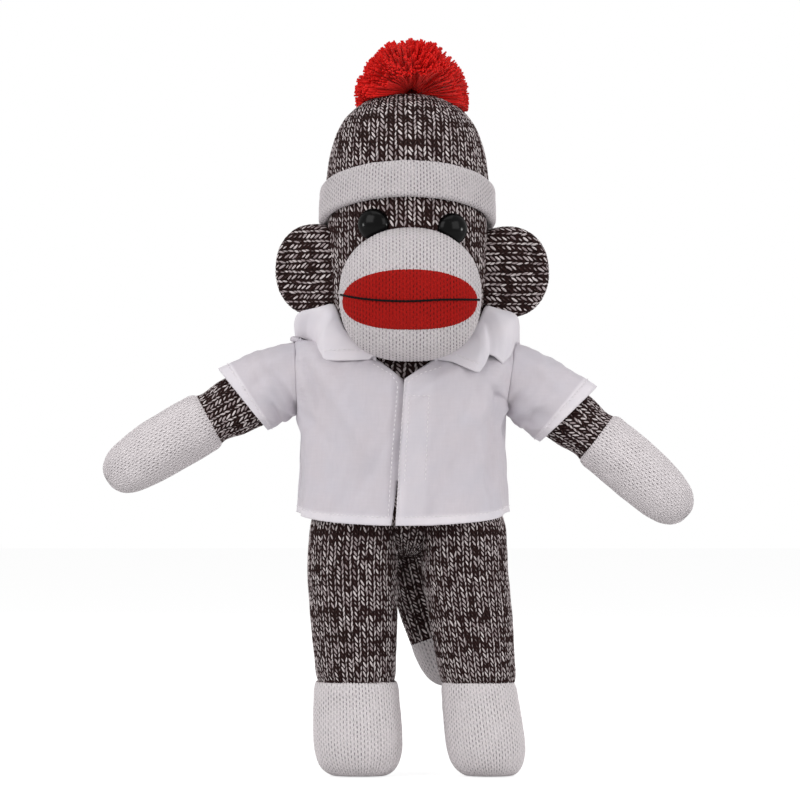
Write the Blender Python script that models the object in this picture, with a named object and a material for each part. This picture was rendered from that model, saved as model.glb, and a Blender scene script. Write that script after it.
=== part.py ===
"""Sock monkey doll with a knitted hat, a yarn pompom and a short-sleeved shirt.

Metres, +Z up. The doll stands on Z = 0 and looks toward -Y. Left and right are the
doll's own, so its left side is +X. Each stuffed piece is one solid that stands for the
knitted skin and the filling inside it.
"""
import math

import bmesh
import bpy
from mathutils import Matrix, Vector

ACROSS = Vector((1, 0, 0))
BACK = Vector((0, 1, 0))
UP = Vector((0, 0, 1))
SIDES = ("left", "right")
OUTWARD = {"left": 1, "right": -1}

# Clearances, and how far a cutter runs past what it cuts
GAP = 0.0003
JOINT_GAP = 0.0006
OVERRUN = 0.012

# Edges sharper than this show as edges
SHARP_ANGLE = math.radians(50)

# Facets round a limb, a body, a cuff and a thread
LIMB_SIDES = 18
BODY_SIDES = 24
CUFF_STEPS = 28
THREAD_SIDES = 6

# Body tube: from the seat up to the neck crease
BODY_X = 0.0020
SEAT_Z = 0.0905
NECK_Z = 0.1760
BODY_HALF_WIDTH = 0.0385
BODY_HALF_DEPTH = 0.0265
BODY_POWER = 2.4
BODY_SHARES = (
    (0.000, 0.45, 0.42), (0.025, 0.75, 0.72), (0.080, 0.94, 0.93), (0.180, 1.01, 1.00),
    (0.320, 1.00, 1.00), (0.520, 0.97, 0.97), (0.670, 0.97, 0.94), (0.760, 1.08, 0.92),
    (0.840, 1.19, 0.87), (0.900, 1.19, 0.81), (0.950, 1.06, 0.755), (0.982, 0.80, 0.715),
    (1.000, 0.52, 0.68))

# Head: from the neck crease to the crown
HEAD_X = 0.0039
HEAD_HEIGHT = 0.1030
HEAD_HALF_WIDTH = 0.0326
HEAD_HALF_DEPTH = 0.0308
HEAD_SHARES = (
    (0.000, 0.60), (0.017, 0.69), (0.046, 0.80), (0.085, 0.877), (0.133, 0.933),
    (0.210, 0.969), (0.347, 0.994), (0.483, 1.0), (0.600, 0.985), (0.696, 0.96),
    (0.793, 0.90), (0.871, 0.80), (0.929, 0.66), (0.968, 0.49), (0.990, 0.28), (1.0, 0))

# Muzzle: a straight-sided cup that ends in a dome
MUZZLE_X = 0.0052
MUZZLE_LEVEL_SHARE = 0.2155
MUZZLE_HALF_WIDTH = 0.0298
MUZZLE_HEIGHT_SHARE = 0.26505
MUZZLE_ROOT = 0.0228
MUZZLE_STEP = 0.0008
MUZZLE_REACH = 0.0172
MUZZLE_CHIN_RISE = 0.0060
MUZZLE_POWER = 2.15
MUZZLE_DOME_POWER = 2.3
MUZZLE_BACK_SHARES = ((0.0, 0.94, 0.80), (0.5, 0.98, 0.90))
DOME_TURNS = (0, 18, 36, 52, 66, 78, 90)

# Lips let into the muzzle, and the thread across them
LIP_X = 0.0045
LIP_LEVEL_SHARE = 0.1961
LIP_HALF_WIDTH = 0.0287
LIP_HALF_HEIGHT = 0.0124
LIP_POWER = 2.3
LIP_PROUD = 0.0004
LIP_DEPTH = 0.0014
MOUTH_HALF_LENGTH = 0.0278
MOUTH_THREAD_RADIUS = 0.00045
MOUTH_SAG = 0.0010
MOUTH_STEPS = 22

# Safety eyes: a domed cap with a post, and a washer on the post inside the head
EYE_X = {"left": 0.0229, "right": -0.0101}
EYE_LEVEL_SHARES = {"left": 0.4806, "right": 0.5010}
EYE_RADIUS = 0.0063
EYE_DOME = 0.0046
EYE_RIM = 0.0006
EYE_SINK = 0.0010
EYE_YAW_SHARE = 0.7
POST_RADIUS = 0.0015
POST_LENGTH = 0.0085
WASHER_RADIUS = 0.0052
WASHER_THICKNESS = 0.0012
WASHER_DEPTH = 0.0045
EYE_SIDES = 16
EYE_DOME_TURNS = (18, 36, 54, 72)

# Ears: padded ovals with a drawn-in ring behind the rim
EAR_X = {"left": 0.0450, "right": -0.0345}
EAR_LEVEL_SHARES = {"left": 0.3087, "right": 0.3184}
EAR_Y = 0.0010
EAR_HALF_WIDTH = 0.0173
EAR_HALF_HEIGHT = 0.0186
EAR_HALF_THICKNESS = 0.0048
EAR_YAW = {"left": math.radians(6), "right": math.radians(28)}
EAR_POWER = 2.2
EAR_SHARES = (
    (-0.55, 0.0), (-0.58, 0.40), (-0.62, 0.66), (-0.95, 0.84), (-0.72, 0.96), (0.0, 1.0),
    (0.75, 0.93), (1.0, 0.72), (0.95, 0.40), (0.92, 0.0))

# Hat: a thin crown over the head and a thick cuff, both tipped back
CROWN_WALL = 0.0012
CUFF_LEVEL_SHARE = 0.5709
CUFF_TIP = 0.0105
CUFF_HALF_HEIGHT = 0.0074
CUFF_THICKNESS = 0.0040
CUFF_SECTION_SHARES = (
    (-1.0, 0.48), (-0.86, 0.14), (-0.12, 0.12), (0.14, 0.50), (0.86, 0.52), (1.0, 0.74),
    (0.88, 0.94), (0.42, 1.0), (-0.42, 1.0), (-0.88, 0.90))
CROWN_EDGE_SHARE = 0.24

# Pompom: a ball of yarn tufts pressed onto the hat
POMPOM_X = 0.0056
POMPOM_Y = 0.0020
POMPOM_LEVEL_SHARE = 1.0243
POMPOM_RADIUS = 0.0195
POMPOM_TUFT = 0.0038

# Arms: arcs that droop from the armhole seam to the fingertips
SHOULDER_REACH = {"left": 0.0075, "right": 0.0032}
SHOULDER_Z = 0.1642
SEAM_ANGLE = {"left": math.radians(8), "right": math.radians(2)}
ARM_LENGTH = {"left": 0.0930, "right": 0.0892}
ARM_SHARES = {"left": 0.465, "right": 0.445}
ARM_ROOT_ANGLE = {"left": math.radians(31.8), "right": math.radians(23.2)}
ARM_TIP_ANGLE = {"left": math.radians(44.8), "right": math.radians(34.6)}
ARM_RADIUS = 0.0118
ARM_SWELL_SHARES = ((0.0, 1.02), (0.35, 1.03), (0.70, 0.98), (1.0, 0.95))
HAND_SWELL_SHARES = (
    (0.0, 0.95), (0.14, 1.0), (0.34, 1.02), (0.56, 1.0), (0.74, 0.93), (0.87, 0.79),
    (0.95, 0.56), (0.99, 0.28), (1.0, 0))

# Legs: a round hip that turns under the body, a straight shin and a blunt foot
HIP_Z = 0.0850
HIP_X = {"left": 0.0276, "right": -0.0189}
SOLE_X = {"left": 0.0376, "right": -0.0161}
LEG_HALF_WIDTH = {"left": 0.0176, "right": 0.0183}
LEG_HALF_DEPTH = 0.0170
LEG_POWER = 2.3
LEG_SWELL_SHARES = ((0.0, 0.87, 0.90), (0.22, 0.91, 0.94), (0.50, 0.96, 0.98), (0.80, 0.99, 1.0))
HIP_TURNS = (0, 14, 28, 42, 55, 67, 78, 86)
HIP_END_SHARE = 0.30
HIP_END_POWER = 8
HIP_ROOM_TURNS = (90, 81, 72, 63, 54, 45, 36, 27, 18, 9, 0)
FOOT_HEIGHT = 0.0385
FOOT_HALF_WIDTH = {"left": 0.0163, "right": 0.0183}
FOOT_HALF_DEPTH = 0.0185
FOOT_SWELL_SHARES = (
    (0.0, 0.60), (0.035, 0.74), (0.11, 0.875), (0.24, 0.97), (0.41, 1.0), (0.60, 0.98),
    (0.80, 0.93), (1.0, 0.885))

# Tail: hangs from a ball end at the seat and drifts to the doll's left
TAIL_X = 0.0030
TAIL_Y = 0.0290
TAIL_Z = 0.0935
TAIL_RADIUS = 0.0080
TAIL_BALL_RADIUS = 0.0072
TAIL_DROP = 0.0580
TAIL_DRIFT = 0.0180
TAIL_DRIFT_POWER = 1.4
TAIL_REACH = 0.0110
TAIL_TIP_SHARE = 0.66
TAIL_START_SHARE = 0.05
TAIL_STEP_SHARE = 0.02
TAIL_BALL_TURNS = (0, 30, 55, 75, 90)
TAIL_SWELL_SHARES = ((0.14, 0.92), (0.30, 1.0), (0.48, 1.02), (0.66, 1.0))
TAIL_TIP_SWELL_SHARES = (
    (0.0, 1.0), (0.25, 1.02), (0.50, 0.97), (0.72, 0.83), (0.88, 0.58), (0.97, 0.28), (1.0, 0))

# Shirt: woven cotton that stands off the body by its ease
CLOTH = 0.0008
HEM_Z = 0.1036
HEM_RISE = 0.0032
SHIRT_TOP_Z = 0.1797
SHIRT_EASE_ACROSS = 0.0040
SHIRT_EASE_FORWARD = 0.0035
SHIRT_POWER = 2.6
SHIRT_SHARES = (
    (0.000, 1.035, 1.050), (0.100, 1.020, 1.035), (0.250, 1.005, 1.005), (0.420, 0.993, 0.985),
    (0.560, 0.990, 0.968), (0.640, 1.005, 0.955), (0.710, 1.080, 0.938), (0.790, 1.150, 0.912),
    (0.860, 1.160, 0.850), (0.915, 1.130, 0.720), (0.960, 1.035, 0.550), (0.985, 0.880, 0.370),
    (0.996, 0.720, 0.180), (1.000, 0.600, 0.025))
SEAM_GAP = 0.0004
FOLD_DEPTH = 0.0011
FOLD_COUNT = 9
FOLD_FADE_SHARE = 0.62
SLOPE_STEP = 0.01
SEARCH_STEP = 0.02
NECK_HOLE_RADIUS = 0.0255
ARMHOLE_RADIUS = 0.0205
PANEL_COLUMNS = 10
BACK_COLUMNS = 18

# Opening: a slanted edge below an open neck, with a taped closure behind it
V_X = 0.0026
V_Z = 0.1636
V_LEFT_REACH = 0.0190
V_RIGHT_REACH = 0.0175
V_RISE = 0.0125
EDGE_HEM_X = -0.0011
EDGE_PARTING = 0.0016
TUCK_WIDTH = 0.0100
TAPE_LOW_Z = 0.1225
TAPE_HIGH_Z = 0.1560
TAPE_INSET = 0.0014
TAPE_WIDTH = 0.0085
TAPE_THICKNESS = 0.0006
TAPE_LANDING = 0.0040
TAPE_ROWS = 7
TAPE_COLUMNS = 4

# Sleeves: short and wide, cut square to their own slope
SLEEVE_ROOT_HALF_HEIGHT = 0.0147
SLEEVE_ROOT_HALF_DEPTH = 0.0140
SLEEVE_CUFF_HALF_HEIGHT = 0.0164
SLEEVE_CUFF_HALF_DEPTH = 0.0138
SLEEVE_REACH = {"left": 0.0240, "right": 0.0219}
SLEEVE_DROP = {"left": 0.0155, "right": 0.0095}
SLEEVE_CUFF_ANGLE = {"left": math.radians(46), "right": math.radians(38.9)}
SLEEVE_STEPS = 5
SLEEVE_SAG = 0.0008

# Collar: a stand round the neck that folds over into a fall, with a leaf at each front.
# Each row is the turn from the front, then five places along the cloth from the neckline
# over the fold to the free edge, as shares of the collar's radius and of its rise.
COLLAR_RADIUS = 0.0465
COLLAR_FOOT_Z = 0.1690
COLLAR_RISE = 0.0210
LEAF_DROP = {"left": 0.0044, "right": 0.0004}
COLLAR_SHARES = (
    (27, (0.615, 0.02), (0.630, 0.08), (0.645, 0.13), (0.655, 0.10), (0.665, 0.04)),
    (38, (0.625, 0.03), (0.650, 0.10), (0.675, 0.16), (0.705, 0.14), (0.725, 0.04)),
    (50, (0.650, 0.12), (0.680, 0.20), (0.710, 0.28), (0.785, 0.26), (0.845, 0.12)),
    (60, (0.655, 0.34), (0.690, 0.46), (0.715, 0.58), (0.840, 0.52), (0.930, 0.40)),
    (76, (0.648, 0.53), (0.690, 0.74), (0.725, 0.88), (0.880, 0.80), (0.990, 0.56)),
    (95, (0.648, 0.55), (0.695, 0.78), (0.730, 0.92), (0.890, 0.84), (1.000, 0.59)),
    (135, (0.610, 0.34), (0.690, 0.70), (0.730, 0.94), (0.850, 0.86), (0.930, 0.50)),
    (180, (0.580, 0.10), (0.680, 0.60), (0.735, 0.98), (0.810, 0.88), (0.850, 0.40)))
COLLAR_STEPS = 30
LEAF_TURN = 50
LEAF_SPREAD = 8
COLLAR_SEAT = 0.0012

# Sizes that follow from others
MUZZLE_BACK_Y = MUZZLE_ROOT - HEAD_HALF_DEPTH
MUZZLE_ROUND_Y = MUZZLE_STEP - HEAD_HALF_DEPTH
MUZZLE_FRONT_Y = -HEAD_HALF_DEPTH - MUZZLE_REACH
MUZZLE_Z = NECK_Z + HEAD_HEIGHT * MUZZLE_LEVEL_SHARE
MUZZLE_HALF_HEIGHT = HEAD_HEIGHT * MUZZLE_HEIGHT_SHARE
LIP_Z = NECK_Z + HEAD_HEIGHT * LIP_LEVEL_SHARE
EYE_Z = {side: NECK_Z + HEAD_HEIGHT * EYE_LEVEL_SHARES[side] for side in SIDES}
EAR_Z = {side: NECK_Z + HEAD_HEIGHT * EAR_LEVEL_SHARES[side] for side in SIDES}
CUFF_Z = NECK_Z + HEAD_HEIGHT * CUFF_LEVEL_SHARE
POMPOM_Z = NECK_Z + HEAD_HEIGHT * POMPOM_LEVEL_SHARE
SHIRT_HALF_WIDTH = BODY_HALF_WIDTH + SHIRT_EASE_ACROSS
SHIRT_HALF_DEPTH = BODY_HALF_DEPTH + SHIRT_EASE_FORWARD
SHOULDER_X = {side: OUTWARD[side] * (BODY_HALF_WIDTH + SHOULDER_REACH[side]) for side in SIDES}
SLEEVE_CUFF_X = {side: SHOULDER_X[side] + OUTWARD[side] * SLEEVE_REACH[side] for side in SIDES}
SLEEVE_CUFF_Z = {side: SHOULDER_Z - SLEEVE_DROP[side] for side in SIDES}


def clear_scene():
    for thing in list(bpy.data.objects):
        bpy.data.objects.remove(thing, do_unlink=True)


def finish(name, red, green, blue, roughness):
    """A plain material in the piece's own colour."""
    material = bpy.data.materials.new(name)
    material.use_nodes = True
    shader = material.node_tree.nodes["Principled BSDF"]
    shader.inputs["Base Color"].default_value = (red, green, blue, 1)
    shader.inputs["Roughness"].default_value = roughness
    shader.inputs["Metallic"].default_value = 0
    return material


def place(name, mesh, material):
    """Close off a mesh as one named, smooth-shaded object."""
    bmesh.ops.recalc_face_normals(mesh, faces=mesh.faces)
    data = bpy.data.meshes.new(name)
    mesh.to_mesh(data)
    mesh.free()
    data.shade_smooth()
    data.set_sharp_from_angle(angle=SHARP_ANGLE)
    thing = bpy.data.objects.new(name, data)
    bpy.context.scene.collection.objects.link(thing)
    if material is None:
        thing.hide_render = True
        thing.display_type = "WIRE"
    else:
        data.materials.append(material)
    return thing


def bridge(mesh, low, high):
    """Skin between two rows of vertices round a body; a row of one is a pole."""
    if len(low) == 1 or len(high) == 1:
        pole, row = (low[0], high) if len(low) == 1 else (high[0], low)
        for index, corner in enumerate(row):
            mesh.faces.new((corner, row[(index + 1) % len(row)], pole))
        return
    for index in range(len(low)):
        after = (index + 1) % len(low)
        mesh.faces.new((low[index], low[after], high[after], high[index]))


def loft(name, rings, material=None, looped=False):
    """One closed body through the rings; looped joins the last ring to the first."""
    mesh = bmesh.new()
    rows = [[mesh.verts.new(point) for point in ring] for ring in rings]
    for low, high in zip(rows, rows[1:]):
        bridge(mesh, low, high)
    if looped:
        bridge(mesh, rows[-1], rows[0])
    else:
        for row in (rows[0], rows[-1]):
            if len(row) > 1:
                mesh.faces.new(row)
    return place(name, mesh, material)


def slab(name, outside, inside, material=None):
    """A sheet with a wall: two equal grids of points, joined round their rim."""
    mesh = bmesh.new()
    skins = [[[mesh.verts.new(point) for point in row] for row in grid] for grid in (outside, inside)]
    last_row, last_column = len(outside) - 1, len(outside[0]) - 1
    for skin in skins:
        for row in range(last_row):
            for column in range(last_column):
                mesh.faces.new((skin[row][column], skin[row][column + 1],
                                skin[row + 1][column + 1], skin[row + 1][column]))
    rim = [(0, column) for column in range(last_column)]
    rim += [(row, last_column) for row in range(last_row)]
    rim += [(last_row, column) for column in range(last_column, 0, -1)]
    rim += [(row, 0) for row in range(last_row, 0, -1)]
    for (row, column), (next_row, next_column) in zip(rim, rim[1:] + rim[:1]):
        mesh.faces.new((skins[0][row][column], skins[0][next_row][next_column],
                        skins[1][next_row][next_column], skins[1][row][column]))
    return place(name, mesh, material)


def cut(target, tool, operation="DIFFERENCE"):
    modifier = target.modifiers.new("cut by " + tool.name, "BOOLEAN")
    modifier.solver = "EXACT"
    modifier.operation = operation
    modifier.object = tool


def bent(value, power):
    """A sine or cosine bent so that a ring of them is a superellipse."""
    return math.copysign(abs(value) ** (2 / power), value)


def ring(centre, first, second, half_first, half_second, power=2, count=LIMB_SIDES):
    points = []
    for step in range(count):
        turn = 2 * math.pi * step / count
        points.append(centre + first * half_first * bent(math.cos(turn), power)
                      + second * half_second * bent(math.sin(turn), power))
    return points


def grown(profile, half_first, half_second, grow):
    """Heights and half sizes of a profile, moved out by grow square to its slope."""
    rows = []
    last = len(profile) - 1
    for index, (height, share_first, share_second) in enumerate(profile):
        below, above = profile[max(index - 1, 0)], profile[min(index + 1, last)]
        rise = above[0] - below[0]
        spread = (above[1] - below[1]) * half_first
        slope = math.hypot(rise, spread)
        out, lift = grow * rise / slope, -grow * spread / slope
        if index in (0, last):
            out, lift = grow, grow if index else -grow
        if share_first == 0:
            rows.append((height + lift, 0, 0))
        else:
            rows.append((height + lift, half_first * share_first + out,
                         half_second * share_second + out))
    return rows


def joint_empty(name, place_at):
    empty = bpy.data.objects.new(name, None)
    empty.empty_display_size = JOINT_GAP
    empty.location = place_at
    bpy.context.scene.collection.objects.link(empty)
    return empty


def hang_on(empty, *pieces):
    """Parent the pieces to the empty on their joint's axis, where they lie."""
    for piece in pieces:
        piece.parent = empty
        piece.matrix_parent_inverse = Matrix.Translation(empty.location).inverted()


# Head group

def head_profile():
    return [(HEAD_HEIGHT * height + NECK_Z + JOINT_GAP, share, share) for height, share in HEAD_SHARES]


def head_rings(grow=0.0):
    rings = []
    for height, half_width, half_depth in grown(head_profile(), HEAD_HALF_WIDTH, HEAD_HALF_DEPTH, grow):
        centre = Vector((HEAD_X, 0, height))
        if half_width == 0:
            rings.append([centre])
        else:
            rings.append(ring(centre, ACROSS, BACK, half_width, half_depth, count=BODY_SIDES))
    return rings


def head_share(height):
    """How wide the head is at a height, as a share of its half width."""
    profile = head_profile()
    for (low, low_share, _), (high, high_share, _) in zip(profile, profile[1:]):
        if low <= height <= high:
            return low_share + (high_share - low_share) * (height - low) / (high - low)
    return 0.0


def head_point(turn, height, proud):
    """A place on the head's side, proud of the knit, turned from the front."""
    share = head_share(height)
    return Vector((HEAD_X + (HEAD_HALF_WIDTH * share + proud) * math.sin(turn),
                   -(HEAD_HALF_DEPTH * share + proud) * math.cos(turn), height))


def muzzle_profile():
    """Forward distance, width share and height share, from the face to the tip."""
    straight = MUZZLE_BACK_Y - MUZZLE_ROUND_Y
    dome = MUZZLE_ROUND_Y - MUZZLE_FRONT_Y
    rows = [(straight * share - MUZZLE_BACK_Y, width, height)
            for share, width, height in MUZZLE_BACK_SHARES]
    for turn in DOME_TURNS:
        ahead = bent(math.sin(math.radians(turn)), MUZZLE_DOME_POWER)
        share = bent(math.cos(math.radians(turn)), MUZZLE_DOME_POWER) if turn < 90 else 0
        rows.append((ahead * dome - MUZZLE_ROUND_Y, share, share))
    return rows


def muzzle_rings(grow=0.0):
    rings = []
    for forward, half_width, half_height in grown(
            muzzle_profile(), MUZZLE_HALF_WIDTH, MUZZLE_HALF_HEIGHT, grow):
        behind = max(0, forward_share_behind_dome(forward))
        centre = Vector((MUZZLE_X, -forward, MUZZLE_Z + MUZZLE_CHIN_RISE * behind))
        if half_width == 0:
            rings.append([centre])
        else:
            rings.append(ring(centre, ACROSS, UP, half_width, half_height, MUZZLE_POWER, BODY_SIDES))
    return rings


def forward_share_behind_dome(forward):
    """0 where the muzzle's dome starts, 1 at its back."""
    return (-MUZZLE_ROUND_Y - forward) / (MUZZLE_BACK_Y - MUZZLE_ROUND_Y)


def muzzle_front_y(x, z, proud):
    """How far forward the muzzle's dome lies at a place on the face."""
    half_width = MUZZLE_HALF_WIDTH + proud
    half_height = MUZZLE_HALF_HEIGHT + proud
    across = (abs(x - MUZZLE_X) / half_width) ** MUZZLE_POWER
    upward = (abs(z - MUZZLE_Z) / half_height) ** MUZZLE_POWER
    share = min(1, (across + upward) ** (1 / MUZZLE_POWER))
    ahead = (1 - share ** MUZZLE_DOME_POWER) ** (1 / MUZZLE_DOME_POWER)
    return MUZZLE_ROUND_Y - (MUZZLE_ROUND_Y - MUZZLE_FRONT_Y + proud) * ahead


def lip_prism(name, grow):
    """The lips' outline, drawn from in front of the muzzle back to its dome's start."""
    rings = [ring(Vector((LIP_X, depth, LIP_Z)), ACROSS, UP, LIP_HALF_WIDTH + grow,
                  LIP_HALF_HEIGHT + grow, LIP_POWER, BODY_SIDES)
             for depth in (MUZZLE_FRONT_Y - OVERRUN, MUZZLE_ROUND_Y - LIP_DEPTH)]
    return loft(name, rings)


def build_face(knit, white, red, thread):
    head = loft("head", head_rings(), knit)
    muzzle = loft("muzzle", muzzle_rings(), white)
    lips = loft("lips", muzzle_rings(LIP_PROUD), red)
    cut(muzzle, loft("head_for_muzzle", head_rings(GAP)))
    cut(lips, lip_prism("lip_outline", 0), "INTERSECT")
    cut(lips, loft("muzzle_behind_lips", muzzle_rings(-LIP_DEPTH)))
    pocket = lip_prism("lip_pocket", GAP)
    cut(pocket, loft("muzzle_behind_pocket", muzzle_rings(-LIP_DEPTH - GAP)))
    cut(muzzle, pocket)
    proud = LIP_PROUD + GAP + MOUTH_THREAD_RADIUS
    path = []
    for step in range(MOUTH_STEPS + 1):
        share = 2 * step / MOUTH_STEPS - 1
        x = LIP_X + MOUTH_HALF_LENGTH * math.sin(share * math.pi / 2)
        z = LIP_Z - MOUTH_SAG * (1 - share * share)
        path.append(Vector((x, muzzle_front_y(x, z, proud), z)))
    return head, [muzzle, lips, tube("mouth_stitch", path, MOUTH_THREAD_RADIUS, thread)]


def tube(name, path, radius, material):
    """A round strand along the points."""
    rings = []
    for index, point in enumerate(path):
        ahead = (path[min(index + 1, len(path) - 1)] - path[max(index - 1, 0)]).normalized()
        side = ahead.cross(UP).normalized()
        rings.append(ring(point, side, side.cross(ahead), radius, radius, count=THREAD_SIDES))
    return loft(name, rings, material)


def turned(outline, spot, facing):
    """Rings turned round the facing axis from (radius, height) points, poles included."""
    first = facing.cross(UP).normalized()
    second = facing.cross(first)
    rings = []
    for radius, height in outline:
        centre = spot + facing * height
        if radius == 0:
            rings.append([centre])
        else:
            rings.append(ring(centre, first, second, radius, radius, count=EYE_SIDES))
    return rings


def eye_frame(side):
    """Where an eye's seat lies on the head, and the way that it looks."""
    share = head_share(EYE_Z[side])
    lean = math.asin((EYE_X[side] - HEAD_X) / (HEAD_HALF_WIDTH * share))
    seat_y = -HEAD_HALF_DEPTH * share * math.cos(lean) + EYE_SINK
    yaw = lean * EYE_YAW_SHARE
    return (Vector((EYE_X[side], seat_y, EYE_Z[side])),
            Vector((math.sin(yaw), -math.cos(yaw), 0)))


def eye_outline(grow):
    """Post, seat, rim and dome of an eye, from the post's end outwards."""
    points = [(0, -POST_LENGTH - grow), (POST_RADIUS + grow, -POST_LENGTH - grow),
              (POST_RADIUS + grow, -grow), (EYE_RADIUS + grow, -grow), (EYE_RADIUS + grow, EYE_RIM)]
    for turn in EYE_DOME_TURNS:
        points.append(((EYE_RADIUS + grow) * math.cos(math.radians(turn)),
                       EYE_RIM + (EYE_DOME - EYE_RIM + grow) * math.sin(math.radians(turn))))
    points.append((0, EYE_DOME + grow))
    return points


def build_eyes(head, muzzle, plastic, pale_plastic):
    pieces = []
    for side in SIDES:
        spot, facing = eye_frame(side)
        pieces.append(loft("eye_" + side, turned(eye_outline(0), spot, facing), plastic))
        near, far = -WASHER_DEPTH, -WASHER_DEPTH - WASHER_THICKNESS
        bore, wide, seat = POST_RADIUS + GAP, WASHER_RADIUS + GAP, EYE_RADIUS + GAP
        washer = [(bore, far), (WASHER_RADIUS, far), (WASHER_RADIUS, near), (bore, near)]
        pieces.append(loft("eye_washer_" + side, turned(washer, spot, facing), pale_plastic, looped=True))
        room = [(0, -POST_LENGTH - GAP), (bore, -POST_LENGTH - GAP), (bore, far - GAP),
                (wide, far - GAP), (wide, near + GAP), (bore, near + GAP), (bore, -GAP),
                (seat, -GAP), (seat, EYE_DOME + OVERRUN), (0, EYE_DOME + OVERRUN)]
        cut(head, loft("eye_pocket_" + side, turned(room, spot, facing)))
        cut(muzzle, loft("eye_clearance_" + side, turned(eye_outline(GAP), spot, facing)))
    return pieces


def ear_rings(side, grow=0.0):
    outward = OUTWARD[side]
    yaw = EAR_YAW[side]
    spread = Vector((outward * math.cos(yaw), math.sin(yaw), 0))
    facing = Vector((outward * math.sin(yaw), -math.cos(yaw), 0))
    centre = Vector((EAR_X[side], EAR_Y, EAR_Z[side]))
    rings = []
    for depth, share in EAR_SHARES:
        spot = centre - facing * (EAR_HALF_THICKNESS * depth)
        if share == 0:
            rings.append([spot])
        else:
            rings.append(ring(spot, spread, UP, EAR_HALF_WIDTH * share + grow,
                              EAR_HALF_HEIGHT * share + grow, EAR_POWER, BODY_SIDES))
    return rings


def cuff_rings(grow=0.0):
    """Sections of the hat's cuff, round the head and tipped up at the front."""
    rings = []
    middle = sum(out for _, out in CUFF_SECTION_SHARES) / len(CUFF_SECTION_SHARES)
    for step in range(CUFF_STEPS):
        turn = 2 * math.pi * step / CUFF_STEPS
        level = CUFF_Z + CUFF_TIP * math.cos(turn)
        section = []
        for rise, out in CUFF_SECTION_SHARES:
            height = level + CUFF_HALF_HEIGHT * rise + grow * rise
            proud = CUFF_THICKNESS * out + math.copysign(grow, out - middle)
            section.append(head_point(turn, height, proud))
        rings.append(section)
    return rings


def build_ears(head_tool, knit):
    pieces = []
    cuff_tool = loft("cuff_for_ears", cuff_rings(GAP), looped=True)
    for side in SIDES:
        ear = loft("ear_" + side, ear_rings(side), knit)
        cut(ear, head_tool)
        cut(ear, cuff_tool)
        pieces.append(ear)
    return pieces


def build_hat(head_tool, knit, white, yarn):
    crown = loft("hat_crown", head_rings(GAP + CROWN_WALL), knit)
    cut(crown, head_tool)
    half = HEAD_HALF_WIDTH + OVERRUN
    edge = CUFF_Z + CUFF_HALF_HEIGHT * CROWN_EDGE_SHARE
    rings = []
    for depth in (-half, half):
        top = edge - CUFF_TIP * depth / HEAD_HALF_DEPTH
        low = NECK_Z - OVERRUN
        rings.append([Vector((HEAD_X - half, depth, top)), Vector((HEAD_X + half, depth, top)),
                      Vector((HEAD_X + half, depth, low)), Vector((HEAD_X - half, depth, low))])
    cut(crown, loft("below_crown_edge", rings))
    cuff = loft("hat_cuff", cuff_rings(), white, looped=True)
    mesh = bmesh.new()
    bmesh.ops.create_icosphere(mesh, subdivisions=3, radius=POMPOM_RADIUS)
    tufts = bmesh.ops.poke(mesh, faces=mesh.faces)["verts"]
    for tuft in tufts:
        tuft.co = tuft.co.normalized() * (POMPOM_RADIUS + POMPOM_TUFT)
    bmesh.ops.translate(mesh, verts=mesh.verts, vec=(POMPOM_X, POMPOM_Y, POMPOM_Z))
    pompom = place("pompom", mesh, yarn)
    cut(pompom, loft("hat_for_pompom", head_rings(GAP + CROWN_WALL + GAP)))
    return [crown, cuff, pompom]


# Body, arms, legs and tail

def body_rings():
    rings = []
    height = NECK_Z - SEAT_Z
    for share, width, depth in BODY_SHARES:
        x = BODY_X + (HEAD_X - BODY_X) * share * share
        rings.append(ring(Vector((x, 0, SEAT_Z + height * share)), ACROSS, BACK,
                          BODY_HALF_WIDTH * width, BODY_HALF_DEPTH * depth, BODY_POWER, BODY_SIDES))
    return rings


def shoulder_frame(side):
    """The armhole's middle, and the shoulder's axis pointing outwards."""
    tilt = SEAM_ANGLE[side]
    return (Vector((SHOULDER_X[side], 0, SHOULDER_Z)),
            Vector((OUTWARD[side] * math.cos(tilt), 0, -math.sin(tilt))))


def armhole_tool(side):
    """All that lies outside an armhole's plane, round the shoulder's axis."""
    spot, axis = shoulder_frame(side)
    rings = []
    for reach in (-JOINT_GAP / 2, ARMHOLE_RADIUS):
        rings.append(ring(spot + axis * reach, BACK, axis.cross(BACK), ARMHOLE_RADIUS,
                          ARMHOLE_RADIUS, count=BODY_SIDES))
    return loft("armhole_" + side, rings)


def arm_place(side, share):
    """A place along an arm's arc and the way that the arm runs there."""
    spot, axis = shoulder_frame(side)
    root, tip = ARM_ROOT_ANGLE[side], ARM_TIP_ANGLE[side]
    radius = ARM_LENGTH[side] / (tip - root)
    turn = root + (tip - root) * share
    across = radius * (math.sin(turn) - math.sin(root))
    drop = radius * (math.cos(root) - math.cos(turn))
    point = spot + axis * (JOINT_GAP / 2) + Vector((OUTWARD[side] * across, 0, -drop))
    return point, Vector((OUTWARD[side] * math.cos(turn), 0, -math.sin(turn)))


def build_arm(side, knit, white):
    hand_from = ARM_SHARES[side]
    rings = []
    for share, swell in ARM_SWELL_SHARES:
        point, along = arm_place(side, share * hand_from)
        if share == 0:
            along = shoulder_frame(side)[1]
        rings.append(ring(point, BACK, along.cross(BACK), ARM_RADIUS * swell, ARM_RADIUS * swell))
    arm = loft("arm_" + side, rings, knit)
    start = hand_from + GAP / ARM_LENGTH[side]
    rings = []
    for share, swell in HAND_SWELL_SHARES:
        point, along = arm_place(side, start + (1 - start) * share)
        if swell == 0:
            rings.append([point])
        else:
            rings.append(ring(point, BACK, along.cross(BACK), ARM_RADIUS * swell, ARM_RADIUS * swell))
    return [arm, loft("hand_" + side, rings, white)]


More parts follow.
